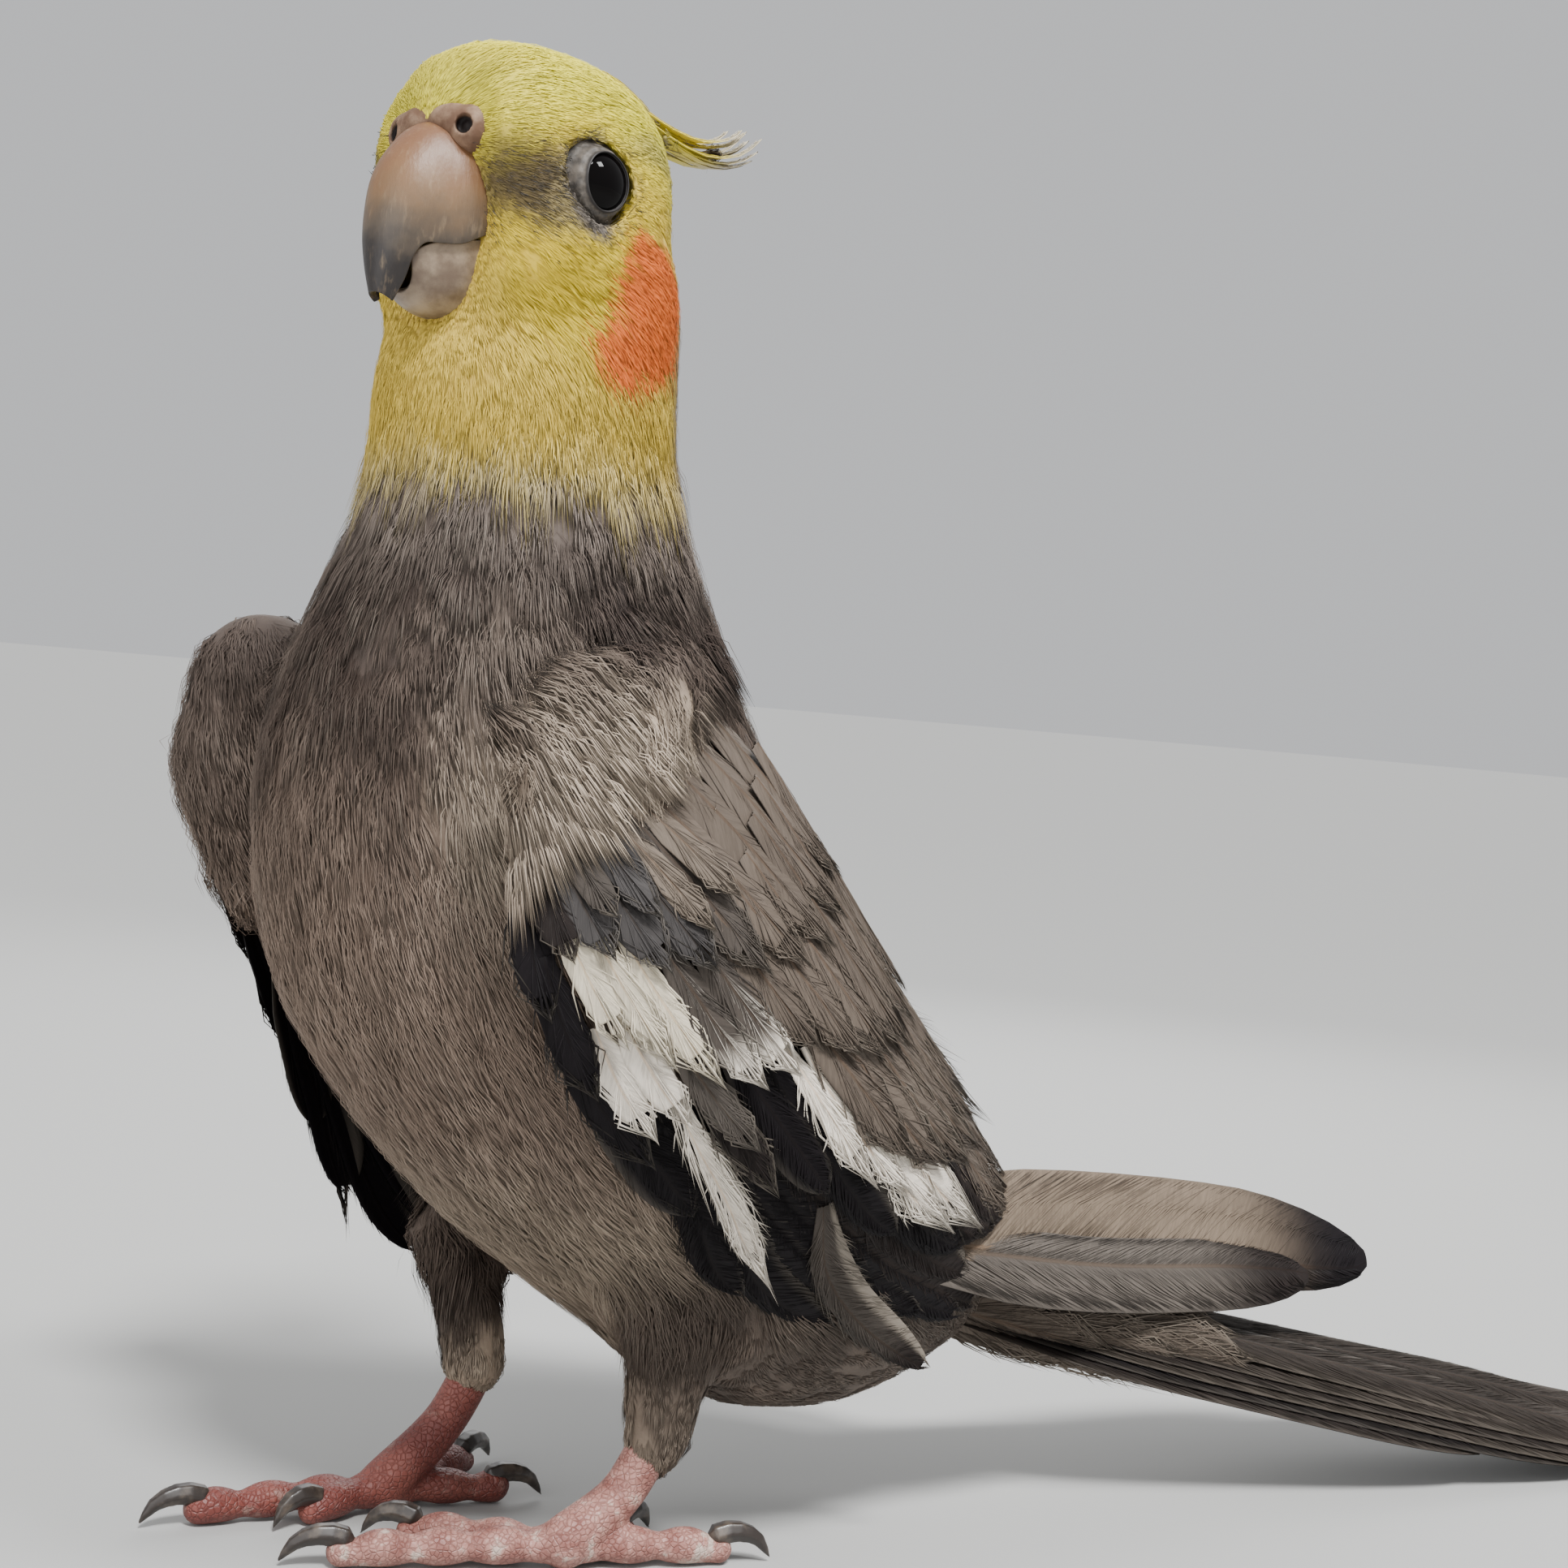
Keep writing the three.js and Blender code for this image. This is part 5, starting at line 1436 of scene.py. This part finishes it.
clouds = g.noise(bird, 0.3, 3.0)
level = g.math("ADD", g.split(bird)[2], g.math("MULTIPLY", clouds, 6.0))
base = g.mix(g.ramp(level, 141, 134), ROOT_WARM, ROOT_PALE)
horn = g.mix(g.ramp(level, 138, 131), base, HORN_GREY)
horn = g.mix(g.ramp(level, 132.2, 129.0), horn, HORN_BLACK)
g.feed(shader["Base Color"], g.mix(g.ramp(streaks, 0.52, 0.78, 0.0, 0.35), horn, FLAKE))
g.feed(shader["Normal"], g.bump(g.math("ADD", streaks, clouds), 0.25, 0.0003))
LOWER_HORN, g, shader = new_material("Lower horn", 0.4, Coat_Weight=0.15, Coat_Roughness=0.3)
wear = g.noise(g.coordinates(), 260.0, 5.0, 0.6)
g.feed(shader["Base Color"], g.mix(g.ramp(wear, 0.35, 0.7), LOWER_DARK, LOWER_PALE))
g.feed(shader["Normal"], g.bump(wear, 0.3, 0.0003))
print("horn of both shells")

# %% [markdown]
# The bill is two horny shells. The upper one is an arch from one cutting edge over the
# ridge to the other, drawn down to a hook; the lower one is a scoop that shuts inside it.
# A grid is bent to each form and given the thickness of the horn.
# %% Bill
UPPER = [
    # ridge forwards and up, cutting edge forwards and up, half width
    (7, 5.4, 6, -3.6, 5.6), (10, 5.6, 7.6, -4.0, 5.9), (12.6, 5.0, 9.3, -4.6, 5.7),
    (14.6, 3.2, 11.3, -5.7, 5.0), (16.2, 0.7, 13, -5.9, 4.2), (16.8, -2.4, 14.3, -6.0, 3.4),
    (17.1, -5.5, 15, -7.2, 2.6), (17, -8.4, 15.2, -9.4, 1.7), (16.6, -10.9, 15.6, -11.5, 0.7),
]
LOWER = [
    # cutting edge forwards and up, keel forwards and up, half width
    (5, -4.0, 4, -9.8, 5.2), (7.4, -4.4, 6, -10.9, 5.2), (9.6, -5.0, 8, -11.5, 4.9),
    (11.8, -5.4, 10, -11.6, 4.3), (13.6, -6.0, 12, -11.1, 3.3), (14.8, -7.0, 13.6, -10.0, 2.0),
]
HORN_THICK = 0.7


def shell(name, rows, low, columns, stations, square):
    """A grid bent over the bill: from edge to edge across, from base to tip along."""
    obj, flat = flat_grid(name, columns, stations)
    angle, t = flat[:, 0] * math.pi / 2, (flat[:, 1] + 1) / 2
    line = np.array([(r[0], r[1], r[4]) for r in rows], float)
    edge = np.array([(r[2], r[3], r[4]) for r in rows], float)
    crown, rim = (edge, line) if low else (line, edge)
    crown, rim = curve(crown, t), curve(rim, t)
    height = np.cos(angle) ** square
    middle = rim[:, :2] + (crown - rim)[:, :2] * height[:, None]
    across = np.sign(angle) * np.abs(np.sin(angle)) ** 0.9 * rim[:, 2]
    bend_to(obj, head_to_bird(np.stack([across, middle[:, 0], middle[:, 1]], -1)))
    modify(obj, "SOLIDIFY", thickness=HORN_THICK * MM, offset=1 if low else -1, use_even_offset=True)
    tidy_mesh(obj)
    modify(obj, "BEVEL", width=0.12 * MM, segments=2, limit_method="ANGLE", angle_limit=math.radians(50))
    bpy.ops.object.shade_smooth_by_angle(angle=math.radians(60))
    print(name, triangles(obj), "triangles")
    return obj


upper = shell("bill_upper", UPPER, False, 40, 44, 1.05)
lower = shell("bill_lower", LOWER, True, 36, 30, 0.75)
upper.data.materials.append(HORN)
lower.data.materials.append(LOWER_HORN)
for piece, node in ((upper, "beak_upper"), (lower, "beak_lower")):
    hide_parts(node)
    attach(piece, "root")

# %% [markdown]
# The cere is bare swollen flesh over the root of the bill. Each half bulges round its
# nostril, a small open pit. The bulges are balls again, and the pits are cut out of them
# with a boolean before the last smoothing rounds their edges.
# %% Cere
FLESH_DARK, FLESH_PALE = (0.13, 0.072, 0.045, 1), (0.27, 0.175, 0.115, 1)
# painted shade: the nostril pits are coloured near black, for the shade inside the hollow
PAINTED_PIT_SHADE, PIT_RADII = (0.006, 0.003, 0.0025, 1), (0.0013, 0.0021, 0.0013)
CERE_LINE = [
    (0, 10.6, 6.0), (2.0, 11.0, 6.1), (4.4, 9.9, 5.4), (5.6, 8.2, 3.4), (5.7, 7.2, 0.6),
    (5.5, 6.8, -2.6),
]
CERE_SIZES = (1.6, 1.8, 2.1, 1.5, 1.0, 0.7)
LOBE, LOBE_SIZE = (4.3, 10.0, 5.3), 2.55
PIT = (4.6, 10.3, 5.3)
HOLE = (((4.9, 11.9, 5.4), 0.95), ((4.7, 10.9, 5.3), 0.85), ((4.4, 10.0, 5.2), 0.8))


def both_sides(points):
    """Each point of the head's left half with its twin on the right."""
    return np.concatenate([points, np.asarray(points) * np.array((-1, 1, 1))])


CERE, g, shader = new_material("Cere", 0.6, Specular_IOR_Level=0.2)
coordinates = g.coordinates()
flesh = g.noise(coordinates, 520.0, 5.0)
pits = [blob(tuple(place(head_to_bird(p))), PIT_RADII, 0.12, coordinates) for p in both_sides([PIT])]
colour = g.mix(g.ramp(flesh, 0.35, 0.7), FLESH_DARK, FLESH_PALE)
# the pits take the painted shade of their hollows
colour = g.mix(g.math("MAXIMUM", *pits), colour, PAINTED_PIT_SHADE)
g.feed(shader["Base Color"], colour)
g.feed(shader["Normal"], g.bump(flesh, 0.6, 0.0003))

line, size = along(CERE_LINE, CERE_SIZES, 26)
swelling = head_to_bird(np.concatenate([both_sides(line), both_sides([LOBE])]))
cere = balls("cere_flesh", swelling, np.concatenate([size, size, (LOBE_SIZE, LOBE_SIZE)]))
fuse(cere, 0.28, 6)
hole_balls = [((s * p[0], p[1], p[2]), radius) for p, radius in HOLE for s in (1, -1)]
holes = balls("holes", head_to_bird([p for p, _ in hole_balls]), [radius for _, radius in hole_balls])
modify(cere, "BOOLEAN", operation="DIFFERENCE", object=holes)
bpy.data.objects.remove(holes)
fuse(cere, 0.2, 3)
cere.data.materials.append(CERE)
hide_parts("cere")
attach(cere, "root")
print("cere", triangles(cere), "triangles")

# %% [markdown]
# The skin of the feet is red under small horny scales, and dry flakes lie on it. The scales
# are cells, dark in the gaps between them, and the left foot is paler and drier than the
# right one.
# %% Skin of the feet and horn of the claws
RED_DEEP, RED_PLAIN = (0.15, 0.034, 0.026, 1), (0.24, 0.07, 0.052, 1)
PINK_DEEP, PINK_PLAIN = (0.22, 0.085, 0.068, 1), (0.38, 0.19, 0.155, 1)
GAP, DRY = (0.10, 0.03, 0.024, 1), (0.54, 0.45, 0.38, 1)
CLAW_DARK, CLAW_WORN = (0.022, 0.016, 0.013, 1), (0.10, 0.078, 0.06, 1)
FOOT, g, shader = new_material("Foot", 0.5)
coordinates = g.coordinates()
cell_inputs = {"Vector": coordinates, "Scale": 1700.0}
cells = g.add("ShaderNodeTexVoronoi", cell_inputs, feature="DISTANCE_TO_EDGE").outputs["Distance"]
flake = g.noise(coordinates, 420.0, 5.0, 0.65)
red = g.mix(g.ramp(g.noise(coordinates, 160.0), 0.35, 0.65), RED_DEEP, RED_PLAIN)
pink = g.mix(g.ramp(flake, 0.35, 0.6), PINK_DEEP, PINK_PLAIN)
left_foot = g.ramp(g.math("SUBTRACT", g.split(coordinates)[0], float(ORIGIN[0])), -0.002, 0.004)
red = g.mix(left_foot, red, pink)
red = g.mix(g.ramp(cells, 0.12, 0.0, 0.0, 0.35), red, GAP)
dry = g.math("MULTIPLY", g.ramp(flake, 0.56, 0.68, 0.0, 0.8), g.ramp(left_foot, 0.0, 1.0, 0.25, 1.0))
g.feed(shader["Base Color"], g.mix(dry, red, DRY))
scales = g.math("ADD", g.ramp(cells, 0.0, 0.16), g.math("MULTIPLY", flake, 1.5))
g.feed(shader["Normal"], g.bump(scales, 0.5, 0.0003))
CLAW, g, shader = new_material("Claw", 0.38, Coat_Weight=0.1)
worn = g.noise(g.coordinates(), 500.0, 4.0)
g.feed(shader["Base Color"], g.mix(g.ramp(worn, 0.45, 0.75), CLAW_DARK, CLAW_WORN))
print("materials", FOOT.name, CLAW.name)

# %% [markdown]
# Two toes point forwards and two back. Each is a row of joints with a pad under each
# joint, and its end grips the root of the claw. The claws keep the form of the solids.
# %% Feet and claws
FEET = {
    # middle of the foot, hock, and toes with heading in degrees and length
    "left": (
        (10.8, 5.1), (10.9, 14.3, 12.0),
        [
            ("outer_front", -19, 21.5), ("inner_front", -42, 15.5), ("outer_rear", 165, 15.5),
            ("inner_rear", 205, 9.5),
        ],
    ),
    "right": (
        (-10.8, -5.1), (-9.8, 4.8, 16.5),
        [
            ("outer_front", -4, 19), ("inner_front", 14, 8.5), ("inner_rear", 172, 11.5),
            ("outer_rear", 212, 15),
        ],
    ),
}
ANKLE, JOINT_STEP = 2.6, 5.6


def toe_balls(start, heading, length):
    """Centres and radii of the balls of one toe, thick at its joints."""
    angle = math.radians(heading)
    forward = np.array((math.sin(angle), -math.cos(angle)))
    part = np.linspace(0, 1, 40)
    joint = np.abs(np.sin(math.pi * (part * length + 2.0) / JOINT_STEP))
    radius = 1.45 + 0.55 * joint**1.5 - 0.15 * part
    z = radius + 0.55 * np.sin(math.pi * part) * (1 - joint) + 0.4 * (1 - part)
    xy = start[None, :2] + forward[None] * (part * (length + 0.6))[:, None]
    return np.column_stack([xy, z]), radius


for label, (mid, hock, toes) in FEET.items():
    start = np.array((mid[0], mid[1], ANKLE))
    bend = (np.array(hock) + start) / 2 + (0, 1.2, -0.6)
    rows = [along([hock, bend, start], (2.3, 2.3, 2.7), 26)]
    rows += [toe_balls(start, heading, length) for _, heading, length in toes]
    foot = balls(f"foot_{label}_skin", *(np.concatenate(part) for part in zip(*rows)))
    fuse(foot, 0.36, 3)
    foot.data.materials.append(FOOT)
    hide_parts(f"foot_{label}")
    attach(foot, "root")
    print(foot.name, triangles(foot), "triangles")
    for name, heading, length in toes:
        claw = copy_of(f"claw_{label}_{name}", f"claw_{label}_{name}_horn")
        fuse(claw, 0.16, 4)
        claw.data.materials.append(CLAW)
        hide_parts(f"claw_{label}_{name}")
        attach(claw, "root")

# %% [markdown]
# The eyes are wet, very dark balls. A thin dark rim of lid shuts round each, inside a
# wider ring of bare grey skin with fine beads.
# %% Materials of the eyes
EYE, g, shader = new_material("Eye", 0.03, Specular_IOR_Level=0.10)
shader["Base Color"].default_value = (0.002, 0.0015, 0.0015, 1)
BARE_DARK, BARE_PALE, RIM = (0.032, 0.027, 0.022, 1), (0.11, 0.092, 0.074, 1), (0.018, 0.015, 0.014, 1)
LID, g, shader = new_material("Lid", 0.6)
grain = g.noise(g.coordinates(), 900.0, 4.0)
bare = g.mix(g.ramp(grain, 0.35, 0.65), BARE_DARK, BARE_PALE)
g.feed(shader["Base Color"], g.mix(g.ramp(g.attribute("ring"), 0.2, 0.12), bare, RIM))
g.feed(shader["Normal"], g.bump(grain, 0.5, 0.0002))
print("materials", EYE.name, LID.name)

# %% [markdown]
# Each eye looks a little forwards. The ball is a sphere turned so that its pole is the
# pupil, and it is rounded enough to catch one clear highlight.
# %% Eyes
EYE_CENTRE, EYE_RADIUS = (10.3, 1.0, 1.45), 4.2
EYE_TURN = math.radians(7)


def eyeball(label, middle, look):
    """A sphere with its pole where the eye looks."""
    turn = Vector((0, 0, 1)).rotation_difference(Vector(look)).to_euler()
    bpy.ops.mesh.primitive_uv_sphere_add(
        segments=64, ring_count=40, radius=EYE_RADIUS * MM, location=tuple(place(middle)), rotation=turn
    )
    eye = bpy.context.object
    eye.name = eye.data.name = f"eyeball_{label}"
    bpy.ops.object.transform_apply(location=True, rotation=True, scale=True)
    bpy.ops.object.shade_smooth()
    eye.data.materials.append(EYE)
    print(eye.name, triangles(eye), "triangles")
    return eye


# %% [markdown]
# The lid is a flat grid rolled into a ring: its inner edge lies on the ball, its outer edge
# goes under the feathers, and two soft folds run round it. A torus would give a ring too,
# but neither the oval slit nor the folds.
# %% The form of the lids
SLIT, RING = (2.35, 2.7), (3.9, 4.1)
RING_BACK, RING_OUT = 0.35, 2.0
FOLDS = ((0.32, 0.08, 0.07), (0.16, 0.42, 0.12))  # height, place and width of each fold
BEADS, BEAD_HIGH = 17, 0.05
LID_THICK = 0.2


def bare_ring(side, label, middle, look):
    ahead = unit(head_direction((-side * math.sin(EYE_TURN), math.cos(EYE_TURN), 0)))
    above = unit(np.cross(ahead, look)) * side
    lid, flat = flat_grid(f"lid_{label}", 96, 24)
    turn, t = flat[:, 0] * math.pi, (flat[:, 1] + 1) / 2
    slit = np.stack([SLIT[0] * np.cos(turn), SLIT[1] * np.sin(turn)], -1)
    outer = np.stack([RING[0] * np.cos(turn) + RING_BACK, RING[1] * np.sin(turn)], -1)
    flat_place = slit + (outer - slit) * t[:, None]
    on_ball = np.sqrt((EYE_RADIUS + 0.05) ** 2 - np.linalg.norm(slit, axis=1) ** 2)
    fold = sum(high * np.exp(-(((t - at) / wide) ** 2)) for high, at, wide in FOLDS)
    beads = BEAD_HIGH * np.sin(turn * BEADS) * (t > 0.15)
    out = on_ball * (1 - smooth(t, 0, 1)) + RING_OUT * smooth(t, 0, 1) + fold + beads
    bend_to(lid, middle + flat_place[:, :1] * ahead + flat_place[:, 1:] * above + out[:, None] * look)
    ring = lid.data.attributes.new("ring", "FLOAT", "POINT")
    ring.data.foreach_set("value", t.astype(np.float32))
    tidy_mesh(lid)
    modify(lid, "SOLIDIFY", thickness=LID_THICK * MM, offset=-1)
    bpy.ops.object.shade_smooth()
    lid.data.materials.append(LID)
    print(lid.name, triangles(lid), "triangles")
    return lid


# %% [markdown]
# Both eyes are made alike and mirrored by their side alone, so that each is a mesh of its
# own and no mirrored face points inwards.
# %% Both eyes
for side, label in SIDES:
    middle = head_to_bird((side * EYE_CENTRE[0], EYE_CENTRE[1], EYE_CENTRE[2]))
    look = unit(head_direction((side * math.cos(EYE_TURN), math.sin(EYE_TURN), 0.06)))
    eye = eyeball(label, middle, look)
    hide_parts(f"eye_{label}")
    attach(eye, "root")
    lid = bare_ring(side, label, middle, look)
    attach(lid, "root")

# %% [markdown]
# A still bird has one body, so every piece rides on it.
# %% Every piece rides on the body
for piece in pieces + [skin]:
    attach(piece, "root")
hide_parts("head", "neck", "torso", "thigh_left", "thigh_right")
print(len(pieces), "pieces of feathers on the skin")

# %% [markdown]
# The camera looks at the bird from its left and a little from the front and from above, and
# it is slightly tilted. Its axes are worked out from these angles, and its lens from the
# size of the bird in the photograph.
# %% Camera
AZIMUTH, DROP, TILT = math.radians(57), math.atan(99 / 3050), math.radians(5)
CAMERA_PLACE = (224.6, -115.6, 88)
SENSOR, FOCUS_PIXELS, FRAME_PIXELS = 36, 3050, 1932
right = Vector((math.cos(AZIMUTH), math.sin(AZIMUTH), 0))
level = Vector((-math.sin(AZIMUTH), math.cos(AZIMUTH), 0))
away = level * math.cos(DROP) - Vector((0, 0, math.sin(DROP)))
up = level * math.sin(DROP) + Vector((0, 0, math.cos(DROP)))
x_axis = right * math.cos(TILT) + up * math.sin(TILT)
y_axis = up * math.cos(TILT) - right * math.sin(TILT)
camera = bpy.data.objects.new("Camera", bpy.data.cameras.new("Camera"))
bpy.context.scene.collection.objects.link(camera)
turn = Matrix((x_axis, y_axis, -away)).transposed().to_4x4()
camera.matrix_world = Matrix.Translation(place(CAMERA_PLACE)) @ turn
camera.data.sensor_width = SENSOR
camera.data.lens = SENSOR * FOCUS_PIXELS / FRAME_PIXELS
camera.data.clip_start = 0.01
bpy.context.scene.camera = camera
print("lens", round(camera.data.lens, 1), "mm")

# %% [markdown]
# A pale floor under soft light. A broad sun gives the main light and its soft shadow, three
# lamps fill it up from the front, the side and behind, and the pale sky closes the view.
# %% Floor and light
KEY_DIRECTION = (-0.52, 0.12, -0.84)
LAMPS = {
    # place and aim in the bird's axes, size in metres, power in watts
    "fill_light": ((180, -430, 150), (0, 0, 70), 0.5, 1.5),
    "window_light": ((340, 160, 612), (12, -6, 120), 0.12, 3.0),
    "back_light": ((-300, 260, 320), (0, 0, 90), 0.4, 1.2),
}
FLOOR, g, shader = new_material("Floor", 0.8)
shader["Base Color"].default_value = (0.40, 0.40, 0.39, 1)
bpy.ops.mesh.primitive_plane_add(size=60, location=(0, 0, 0))
ground = bpy.context.object
ground.name = "floor"
ground.data.materials.append(FLOOR)


def aim(direction):
    return Vector(direction).to_track_quat("-Z", "Y").to_matrix().to_4x4()


sun = bpy.data.objects.new("key_light", bpy.data.lights.new("key_light", "SUN"))
sun.data.energy, sun.data.angle = 4.6, math.radians(12)
bpy.context.scene.collection.objects.link(sun)
sun.matrix_world = aim(KEY_DIRECTION)
for name, (position, target, size, power) in LAMPS.items():
    lamp = bpy.data.objects.new(name, bpy.data.lights.new(name, "AREA"))
    lamp.data.size, lamp.data.energy = size, power
    bpy.context.scene.collection.objects.link(lamp)
    start, end = Vector(place(position)), Vector(place(target))
    lamp.matrix_world = Matrix.Translation(start) @ aim(end - start)
world = bpy.data.worlds.new("Studio")
world.use_nodes = True
world.node_tree.nodes["Background"].inputs["Color"].default_value = (0.8, 0.81, 0.83, 1)
world.node_tree.nodes["Background"].inputs["Strength"].default_value = 0.8
bpy.context.scene.world = world
print(len(LAMPS) + 1, "lights")
